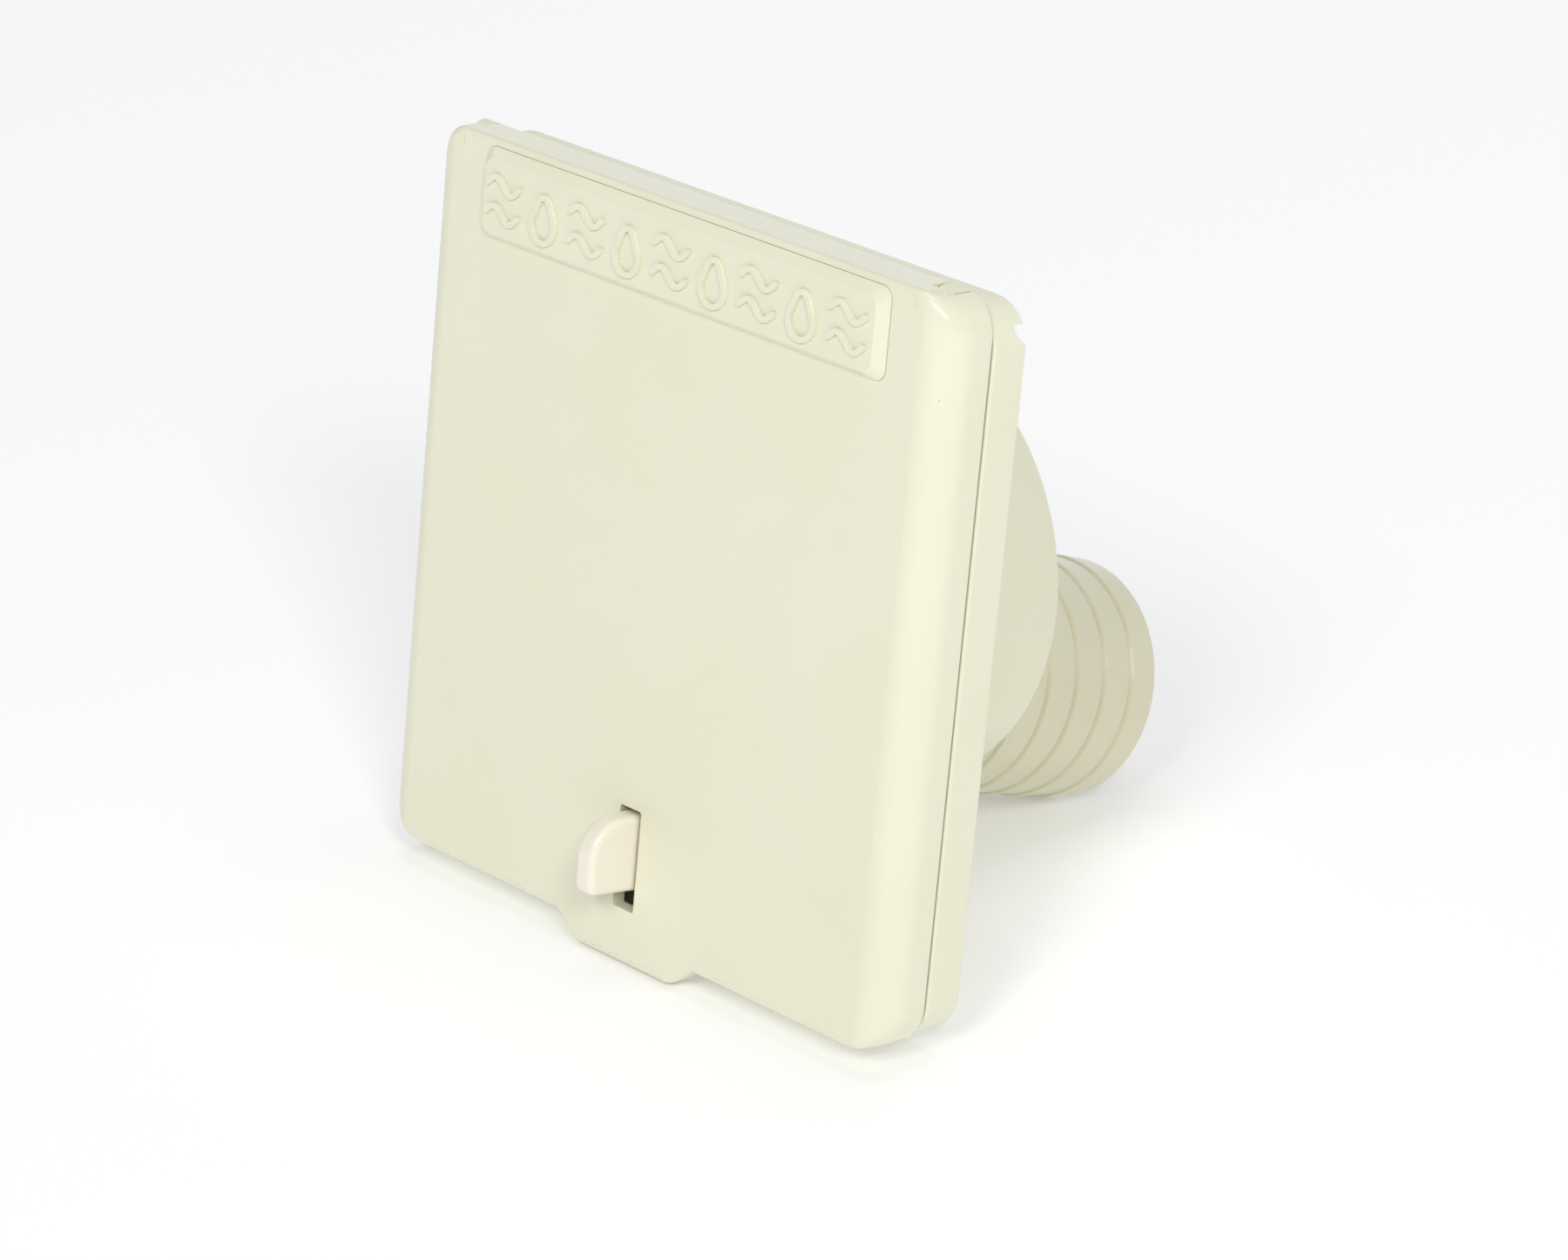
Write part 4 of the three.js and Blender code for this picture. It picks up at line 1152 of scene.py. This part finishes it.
def latch_spring(sizes, material):
    """The coil under the slider's seat, made at one length; the real coil shortens as the latch slides down.
    """
    low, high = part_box("latch_spring")
    radius = (high.x - low.x) / 2 - sizes.wire
    middle = (low.y + high.y) / 2
    steps, sides = sizes.turns * 28, 12
    bottom, tall = low.z + sizes.wire, high.z - low.z - 2 * sizes.wire
    around = [2 * math.pi * k / sides for k in range(sides)]
    rings = []
    for i in range(steps + 1):
        t = i / steps
        angle = 2 * math.pi * sizes.turns * t
        out = Vector((math.cos(angle), math.sin(angle), 0))
        up = Vector((0, 0, sizes.wire))
        centre = Vector((0, middle, bottom + tall * t)) + out * radius
        rings.append([centre + out * sizes.wire * math.cos(a) + up * math.sin(a) for a in around])
    spring = skinned("spring", rings)
    settle(spring, "return_spring", "lid", ["latch_spring"], material)
    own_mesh(spring)
    return spring


def latch_retainer(sizes, material):
    """The plate that holds the slider against the lid."""
    low, high = RETAINER_LOW, RETAINER_HIGH
    hole_radius = 1.3 * MM
    outline = rounded(rectangle(low.x, high.x, low.z, high.z), 1.6 * MM, 6)
    plate = pulled("retainer", outline, "Y", low.y, high.y)
    for side in SIDES:
        hole = rod(hole_radius, low.y - PAST, high.y + PAST, 32)
        cut(plate, moved(hole, side * sizes.screw_x, RETAINER_Z))
    soften(plate, 0.25 * MM, 3)
    return settle(plate, "retainer_plate", "lid", ["latch_retainer"], material)


def screw_profile(sizes, tip, seat, end):
    """The (radius, y) profile of a pan-head screw with a thread, from its tip to its head."""
    shank, head = sizes.shank, sizes.head
    core, thread_root = shank * 0.8, shank * 0.78
    pitch, dome = 0.5 * MM, 0.65 * MM
    profile = [(0, tip), (shank * 0.5, tip)]
    y = tip + 0.3 * MM
    while y + pitch < seat - 0.6 * MM:
        profile += [(thread_root, y), (shank, y + pitch / 2)]
        y += pitch
    profile += [(core, seat - 0.4 * MM), (core, seat), (head - 0.1 * MM, seat), (head, seat + 0.15 * MM)]
    return [*profile, *arc((head - dome, end - dome), dome, 0, 90, 6), (0, end)]


def retainer_screw(sizes, hand, side, material):
    """A small pan-head screw with a cross recess and a thread."""
    node = f"retainer_screw_{hand}"
    low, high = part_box(node)
    end = high.y
    screw = turned(node, screw_profile(sizes, low.y, end - 1 * MM, end), 48)
    reach, half, sunk = 1.1 * MM, 0.24 * MM, 0.6 * MM
    for angle in (20, 110):
        blade = block((-reach, end - sunk, -half), (reach, end + PAST, half))
        cut(screw, placed(blade, Matrix.Rotation(math.radians(angle), 4, "Y")))
    moved(screw, side * sizes.screw_x, RETAINER_Z)
    return settle(screw, f"pan_screw_{hand}", "lid", [node], material)


def hinge_pin(hand, material):
    """A hinge pin with rounded ends."""
    node = f"hinge_pin_{hand}"
    low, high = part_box(node)
    radius, long = (high.z - low.z) / 2, high.x - low.x
    corners = [((0, 0), 0), ((radius, 0), 0.2), ((radius, long), 0.2), ((0, long), 0)]
    place = Matrix.Translation((low.x, HINGE.y, HINGE.z)) @ Matrix.Rotation(-math.pi / 2, 4, "Z")
    pin = placed(turned_corners(node, corners, 48, 4), place)
    return settle(pin, f"steel_pin_{hand}", "frame", [node], material)


def dish(sizes, spout, material):
    """The dish: a round cup with a bonding flange and the tether's boss."""
    back, floor, front = DISH_HIGH.y, DISH_HIGH.y - sizes.wall, DISH_LOW.y
    inner, bond = sizes.outer - sizes.wall, DISH_HIGH.x
    bond_back = front + sizes.bond
    corners = [
        ((0, floor), 0), ((inner, floor), 2.2), ((inner, front), 0.3), ((bond, front), 0.3),
        ((bond, bond_back), 0.3), ((sizes.outer, bond_back), 0.6), ((sizes.outer, back), 0.45),
        ((0, back), 0)]
    cup = moved(turned_corners("dish", corners, 176, 6), 0, DISH_Z)
    boss = rod(sizes.boss, floor - sizes.boss_height, floor + BITE)
    join(cup, moved(boss, 0, sizes.boss_z))
    rivet_radius = 1.8 * MM
    cut(cup, moved(rod(rivet_radius, 0, back - PAST, 40), 0, sizes.boss_z))
    seam = 0.05 * MM
    tube_start, tube_end = -18 * MM, 12 * MM
    tube = placed(rod(spout.crest + seam, tube_start, tube_end, 160), spout_place(spout))
    cut(cup, cut(tube, before_saddle(spout, seam)))
    soften(cup, 0.2 * MM, 2, 45)
    return settle(cup, "dish", "frame", ["fill_dish"], material)


def before_saddle(sizes, margin):
    """Everything in front of the plane where the spout's tube starts in the dish's lower wall."""
    return block((-FAR, -FAR, -FAR), (FAR, sizes.saddle - margin, FAR))


def barb_corners(sizes, end):
    """The corners of the barbs along the tube's outside, from the dish to the end."""
    corners = []
    before = sizes.crest
    for i in reversed(range(sizes.barbs)):
        crest = end - sizes.last - i * sizes.pitch
        corners += [
            ((before, crest - 0.62 * MM), 0.12), ((sizes.groove, crest - 0.38 * MM), 0.1),
            ((sizes.crest, crest), 0.16)]
        before = sizes.band
    return corners


def hose_spout(sizes, dish_sizes, material):
    """The spout: a tube with shallow barbs that closes the dish's lower side with a saddle."""
    start, end = -16 * MM, sizes.length
    socket = sizes.socket_depth
    corners = [
        ((sizes.bore, end), 0.5), ((sizes.bore, socket), 0.2), ((sizes.socket, socket - 0.5 * MM), 0.2),
        ((sizes.socket, start), 0), ((sizes.crest, start), 0), *barb_corners(sizes, end),
        ((sizes.band, end), 0.75)]
    spout = placed(turned_corners("spout", corners, 192), spout_place(sizes))
    floor = DISH_HIGH.y - dish_sizes.wall
    space = moved(rod(dish_sizes.outer - dish_sizes.wall, -FAR, floor, 176), 0, DISH_Z)
    over = block((-FAR, -FAR, DISH_Z), (FAR, floor, FAR))
    cut(spout, before_saddle(sizes, 0), space, over)
    return settle(spout, "spout", "frame", ["hose_spout"], material)


def fill_plug(sizes, material):
    """The plug: a cup with an O-ring groove and a post for its knob."""
    radius, front, back, post, post_end = sizes.radius, sizes.front, sizes.back, sizes.post, sizes.post_end
    groove = sizes.ring_radius - sizes.ring_wire - 0.2 * MM
    half = sizes.ring_wire + 0.25 * MM
    before, after = sizes.ring_at - half, sizes.ring_at + half
    wall = 2.4 * MM
    hollow = radius - wall - 2 * MM
    corners = [
        ((0, post_end), 0), ((post, post_end), 0.3), ((post, front), 1.4), ((radius - 3 * MM, front), 0.2),
        ((radius, front), 0.8), ((radius, before), 0.2), ((groove, before), 0.15), ((groove, after), 0.15),
        ((radius, after), 0.2), ((radius, back), 0.9), ((hollow, back), 0.4), ((hollow, front + wall), 0.8),
        ((0, front + wall), 0)]
    plug = turned_corners("plug", corners)
    socket_radius, socket_depth = 1.6 * MM, 6 * MM
    cut(plug, rod(socket_radius, post_end - PAST, post_end + socket_depth, 32))
    placed(plug, spout_place(bpy.context.scene.hatch_spout))
    return settle(plug, "plug_body", "plug", ["fill_plug"], material)


def plug_knob(sizes, material):
    """The plug's knob: a fluted disc with a dished face and a stub that enters the post."""
    knob_radius = sizes.knob
    seat = sizes.post_end - GAP
    end = seat - sizes.knob_height
    face = end + 0.5 * MM
    stub, stub_end = 1.3 * MM, seat + 5 * MM
    corners = [
        ((0, face), 0), ((knob_radius * 0.55, face), 1.5), ((knob_radius * 0.72, end), 0.5),
        ((knob_radius, end), 0.9), ((knob_radius, seat), 0.5), ((stub, seat), 0.2), ((stub, stub_end), 0.2),
        ((0, stub_end), 0)]
    knob = turned_corners("knob", corners, 144)
    flute_radius, reach = 0.9 * MM, knob_radius + 0.45 * MM
    for i in range(sizes.flutes):
        angle = 2 * math.pi * i / sizes.flutes
        flute = rod(flute_radius, end - PAST, seat + PAST, 20)
        cut(knob, moved(flute, reach * math.cos(angle), reach * math.sin(angle)))
    soften(knob, 0.15 * MM, 2)
    placed(knob, spout_place(bpy.context.scene.hatch_spout))
    return settle(knob, "pull_knob", "plug", ["plug_knob"], material)


def plug_o_ring(sizes, material):
    """The plug's O-ring, with the fine flash line of its mould."""
    sides, flash = 24, 0.04 * MM
    section = []
    for k in range(sides):
        angle = 2 * math.pi * k / sides
        on_flash = k % (sides // 2) == 0
        reach = sizes.ring_wire if on_flash else sizes.ring_wire - flash
        radius = sizes.ring_radius + reach * math.cos(angle)
        section.append((radius, sizes.ring_at + reach * math.sin(angle)))
    ring = placed(turned("ring", section, 144), spout_place(bpy.context.scene.hatch_spout))
    return settle(ring, "seal_ring", "plug", ["plug_o_ring"], material)


def ribbon(name, route, width, thickness, steps=32):
    """A flat band along a Bezier curve that lies in the hatch's middle plane."""
    corners = rectangle(-width / 2, width / 2, -thickness / 2, thickness / 2)
    section = rounded(corners, 0.35 * MM, 3)
    rings = []
    for i in range(steps + 1):
        t = i / steps
        weights = ((1 - t) ** 3, 3 * t * (1 - t) ** 2, 3 * t * t * (1 - t), t ** 3)
        slopes = (-3 * (1 - t) ** 2, 3 * (1 - t) * (1 - 3 * t), 3 * t * (2 - 3 * t), 3 * t * t)
        centre = sum((point * weight for point, weight in zip(route, weights)), Vector())
        along = sum((point * slope for point, slope in zip(route, slopes)), Vector()).normalized()
        up = Vector((0, -along.z, along.y))
        rings.append([centre + Vector((a, 0, 0)) + up * b for a, b in section])
    return skinned(name, rings)


def plug_tether(dish_sizes, plug, material):
    """The tether: a flat moulded strap with an eye at each end."""
    thickness, width = 1.2 * MM, 5 * MM
    plug_eye, plug_hole = 5.2 * MM, 3.1 * MM
    wall_eye, wall_hole = 4 * MM, 2.1 * MM
    bend = 13 * MM
    at_spout = spout_place(bpy.context.scene.hatch_spout)
    boss_z = dish_sizes.boss_z
    under = plug.post_end + 0.4 * MM
    boss_face = DISH_HIGH.y - dish_sizes.wall - dish_sizes.boss_height
    wall_y = boss_face - GAP - thickness / 2
    lower = placed(rod(plug_eye, under, under + thickness, 72), at_spout)
    upper = moved(rod(wall_eye, wall_y - thickness / 2, wall_y + thickness / 2, 72), 0, boss_z)
    climb = (at_spout.to_3x3() @ Vector((0, 0, 1))).normalized()
    start = at_spout @ Vector((0, under + thickness / 2, 0))
    route = [
        start + climb * 3.9 * MM, start + climb * bend,
        Vector((0, wall_y, boss_z - bend)), Vector((0, wall_y, boss_z - 2.7 * MM))]
    strap = join(ribbon("strap", route, width, thickness), lower, upper)
    cut(strap, placed(rod(plug_hole, -30 * MM, 0, 56), at_spout))
    cut(strap, moved(rod(wall_hole, 0, DISH_HIGH.y, 40), 0, boss_z))
    soften(strap, 0.22 * MM, 2, 40)
    return settle(strap, "strap", "frame", ["plug_tether"], material)


def tether_pin(dish_sizes, material):
    """The rivet that holds the tether's upper eye."""
    low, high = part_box("tether_pin")
    seat = low.y + 1.2 * MM
    stem, head = 1.5 * MM, 3.2 * MM
    corners = [
        ((0, high.y), 0), ((stem, high.y), 0.4), ((stem, seat), 0.1), ((head, seat), 0.15),
        ((head, low.y + 0.5 * MM), 0.6), ((head / 2, low.y), 0.8), ((0, low.y), 0)]
    pin = moved(turned_corners("rivet", corners, 64), 0, dish_sizes.boss_z)
    return settle(pin, "rivet", "frame", ["tether_pin"], material)


# ---- stage ----

def camera(settings):
    """The camera, at its own angle around the hatch."""
    level = math.cos(settings.elevation)
    back = Vector((
        math.sin(settings.azimuth) * level, -math.cos(settings.azimuth) * level, math.sin(settings.elevation)
    ))
    data = bpy.data.cameras.new("camera")
    data.lens = settings.lens
    data.sensor_width = 36
    data.clip_start = 0.01
    eye = bpy.data.objects.new("camera", data)
    bpy.context.scene.collection.objects.link(eye)
    eye.location = Vector(settings.aim) + back * settings.distance
    turn = (-back).to_track_quat("-Z", "Y").to_matrix() @ Matrix.Rotation(settings.roll, 3, "Z")
    eye.rotation_euler = turn.to_euler()
    bpy.context.scene.camera = eye


def floor_slope():
    """The point and slope of the floor that the lid's lip and the spout's end both rest on."""
    lip = Vector((0, LID_LOW.y + 4 * MM, LID_LOW.z))
    spout_low, spout_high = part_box("hose_spout")
    heel = Vector((0, spout_high.y - 4.4 * MM, spout_low.z))
    return lip, math.atan2(heel.z - lip.z, heel.y - lip.y)


def studio_floor(settings, tint):
    """A wide pale floor that is clear from below and glows a little more far away."""
    point, slope = floor_slope()
    half = settings.floor_size / 2
    corners = [(x, y, 0) for x, y in rectangle(-half, half, -half, half)]
    floor = new_piece("floor", corners, [(0, 1, 2, 3)])
    floor.rotation_euler = Euler((slope, 0, 0))
    floor.location = point + Vector((0, 0, -0.05 * MM))
    if floor.data.polygons[0].normal.z < 0:
        floor.data.flip_normals()
    material, tree, shader = new_material("Studio floor")
    shader.inputs["Base Color"].default_value = (*tint.floor, 1)
    place = add(tree, "TexCoord").outputs["Object"]
    away = add(tree, "VectorMath", {0: place}, operation="LENGTH").outputs["Value"]
    near = (*[share * settings.glow for share in tint.floor], 1)
    far = (*[share * settings.far_glow for share in tint.floor], 1)
    glow = mixed(tree, between(tree, away, 0.12, 1.3, 0, 1), near, far)
    tree.links.new(glow, shader.inputs["Emission Color"])
    shader.inputs["Emission Strength"].default_value = 1
    shader.inputs["Roughness"].default_value = 0.85
    shader.inputs["Specular IOR Level"].default_value = 0.15
    clear = add(tree, "BsdfTransparent")
    behind = add(tree, "NewGeometry").outputs["Backfacing"]
    mix = add(tree, "MixShader", {0: behind, 1: shader.outputs[0], 2: clear.outputs[0]})
    tree.links.new(mix.outputs[0], tree.nodes["Material Output"].inputs["Surface"])
    floor.data.materials.append(material)


def area_light(name, power, size, place, target, tint=(1, 1, 1)):
    """A soft light panel that faces its target."""
    data = bpy.data.lights.new(name, "AREA")
    data.energy = power
    data.shape = "RECTANGLE"
    data.size, data.size_y = size
    data.color = tint
    panel = bpy.data.objects.new(name, data)
    bpy.context.scene.collection.objects.link(panel)
    panel.location = place
    panel.rotation_euler = (Vector(target) - Vector(place)).to_track_quat("-Z", "Y").to_euler()


def surroundings(settings):
    """Even pale surroundings."""
    world = bpy.data.worlds.new("Studio")
    bpy.context.scene.world = world
    world.use_nodes = True
    sky = world.node_tree.nodes["Background"]
    sky.inputs["Color"].default_value = (0.965, 0.98, 1, 1)
    sky.inputs["Strength"].default_value = settings.ambient


def studio_lights(settings):
    """Two warm key panels at the front right, a large one overhead and a pale card behind."""
    middle = (0, 0, 0)
    warm, cool = (1, 0.975, 0.945), (0.95, 0.98, 1)
    away, height = 1.8, 1.05
    for hand, degrees in (("left", 26), ("right", 55)):
        turn = math.radians(degrees)
        place = Vector((away * math.sin(turn), -away * math.cos(turn), height))
        area_light(f"key_{hand}", settings.key / 2, (0.42, 0.42), place, middle, warm)
    area_light("overhead", settings.top, (1.3, 1.3), (0, 0, 2), middle)
    area_light("sweep", settings.sweep, (3.4, 1.3), (-0.3, 1.6, 0.65), (-0.3, 0, 0.65), cool)


# ---- operators ----

class Maker:
    """What the hatch's operators share."""

    bl_options = {"REGISTER", "UNDO"}


class HATCH_OT_flange(Maker, bpy.types.Operator):
    """Build the flange"""

    bl_idname = "hatch.flange"
    bl_label = "Flange"

    def execute(self, context):
        scene = context.scene
        flange(scene.hatch_flange, scene.hatch_latch, finish(context, "Ivory flange plastic"))
        return {"FINISHED"}


class HATCH_OT_dish(Maker, bpy.types.Operator):
    """Build the round dish behind the flange"""

    bl_idname = "hatch.dish"
    bl_label = "Dish"

    def execute(self, context):
        scene = context.scene
        dish(scene.hatch_dish, scene.hatch_spout, finish(context, "Ivory dish plastic"))
        return {"FINISHED"}


class HATCH_OT_spout(Maker, bpy.types.Operator):
    """Build the barbed hose spout"""

    bl_idname = "hatch.spout"
    bl_label = "Hose spout"

    def execute(self, context):
        scene = context.scene
        hose_spout(scene.hatch_spout, scene.hatch_dish, finish(context, "Shaded ivory spout plastic"))
        return {"FINISHED"}


class HATCH_OT_lid(Maker, bpy.types.Operator):
    """Build the hinged lid"""

    bl_idname = "hatch.lid"
    bl_label = "Lid"

    def execute(self, context):
        scene = context.scene
        ivory = finish(context, "Ivory satin plastic")
        lid(scene.hatch_lid, scene.hatch_flange, scene.hatch_label, scene.hatch_latch, ivory)
        return {"FINISHED"}


class HATCH_OT_label(Maker, bpy.types.Operator):
    """Build the label plate with its ornament"""

    bl_idname = "hatch.label"
    bl_label = "Label plate"

    def execute(self, context):
        label_plate(context.scene.hatch_label, finish(context, "Ivory satin plastic"))
        return {"FINISHED"}


class HATCH_OT_seal(Maker, bpy.types.Operator):
    """Build the lid's gasket"""

    bl_idname = "hatch.seal"
    bl_label = "Lid gasket"

    def execute(self, context):
        gasket(context.scene.hatch_flange, finish(context, "Black rubber"))
        return {"FINISHED"}


class HATCH_OT_latch(Maker, bpy.types.Operator):
    """Build the latch slider, its spring, retainer and screws"""

    bl_idname = "hatch.latch"
    bl_label = "Latch"

    def execute(self, context):
        sizes = context.scene.hatch_latch
        latch_slider(sizes, finish(context, "Cream latch plastic"))
        latch_spring(sizes, finish(context, "Rusty spring steel"))
        latch_retainer(sizes, finish(context, "Ivory dish plastic"))
        for hand, side in (("left", -1), ("right", 1)):
            retainer_screw(sizes, hand, side, finish(context, "Stainless steel"))
        return {"FINISHED"}


class HATCH_OT_hinge(Maker, bpy.types.Operator):
    """Build the two hinge pins"""

    bl_idname = "hatch.hinge"
    bl_label = "Hinge pins"

    def execute(self, context):
        for hand in ("left", "right"):
            hinge_pin(hand, finish(context, "Stainless steel"))
        return {"FINISHED"}


class HATCH_OT_plug(Maker, bpy.types.Operator):
    """Build the plug, its knob, O-ring and tether"""

    bl_idname = "hatch.plug"
    bl_label = "Fill plug"

    def execute(self, context):
        sizes = context.scene.hatch_plug
        cream = finish(context, "Cream latch plastic")
        fill_plug(sizes, cream)
        plug_knob(sizes, cream)
        plug_o_ring(sizes, finish(context, "Black rubber"))
        plug_tether(context.scene.hatch_dish, sizes, finish(context, "Tether elastomer"))
        tether_pin(context.scene.hatch_dish, finish(context, "Stainless steel"))
        return {"FINISHED"}


class HATCH_OT_stage(Maker, bpy.types.Operator):
    """Set up the camera, the floor and the lights"""

    bl_idname = "hatch.stage"
    bl_label = "Stage"

    def execute(self, context):
        settings = context.scene.hatch_stage
        camera(settings)
        studio_floor(settings, context.scene.hatch_colours)
        surroundings(settings)
        studio_lights(settings)
        context.scene.view_settings.view_transform = "Standard"
        return {"FINISHED"}


class HATCH_PT_panel(bpy.types.Panel):
    """The hatch's makers and sizes in the sidebar"""

    bl_idname = "HATCH_PT_panel"
    bl_label = "Water-fill hatch"
    bl_space_type = "VIEW_3D"
    bl_region_type = "UI"
    bl_category = "Hatch"

    def draw(self, context):
        for maker in MAKERS:
            self.layout.operator(maker.bl_idname)
        for group in GROUPS:
            box = self.layout.box()
            box.label(text=group.__name__)
            for key in group.__annotations__:
                box.prop(getattr(context.scene, GROUPS[group]), key)


GROUPS = {
    FlangeSizes: "hatch_flange",
    LidSizes: "hatch_lid",
    LabelSizes: "hatch_label",
    LatchSizes: "hatch_latch",
    DishSizes: "hatch_dish",
    SpoutSizes: "hatch_spout",
    PlugSizes: "hatch_plug",
    HatchColours: "hatch_colours",
    StageSettings: "hatch_stage",
}
MAKERS = (
    HATCH_OT_stage, HATCH_OT_flange, HATCH_OT_dish, HATCH_OT_spout, HATCH_OT_lid, HATCH_OT_label,
    HATCH_OT_seal, HATCH_OT_latch, HATCH_OT_hinge, HATCH_OT_plug,
)


def register():
    """Registers the classes and hangs the property groups on the scene."""
    for item in (*GROUPS, *MAKERS, HATCH_PT_panel):
        bpy.utils.register_class(item)
    for group, place in GROUPS.items():
        setattr(bpy.types.Scene, place, PointerProperty(type=group))


def unregister():
    """Takes back what register did."""
    for place in GROUPS.values():
        delattr(bpy.types.Scene, place)
    for item in reversed((*GROUPS, *MAKERS, HATCH_PT_panel)):
        bpy.utils.unregister_class(item)


def main():
    """Builds the stage and every piece."""
    register()
    for maker in MAKERS:
        area, name = maker.bl_idname.split(".")
        getattr(getattr(bpy.ops, area), name)()


if __name__ == "__main__":
    main()
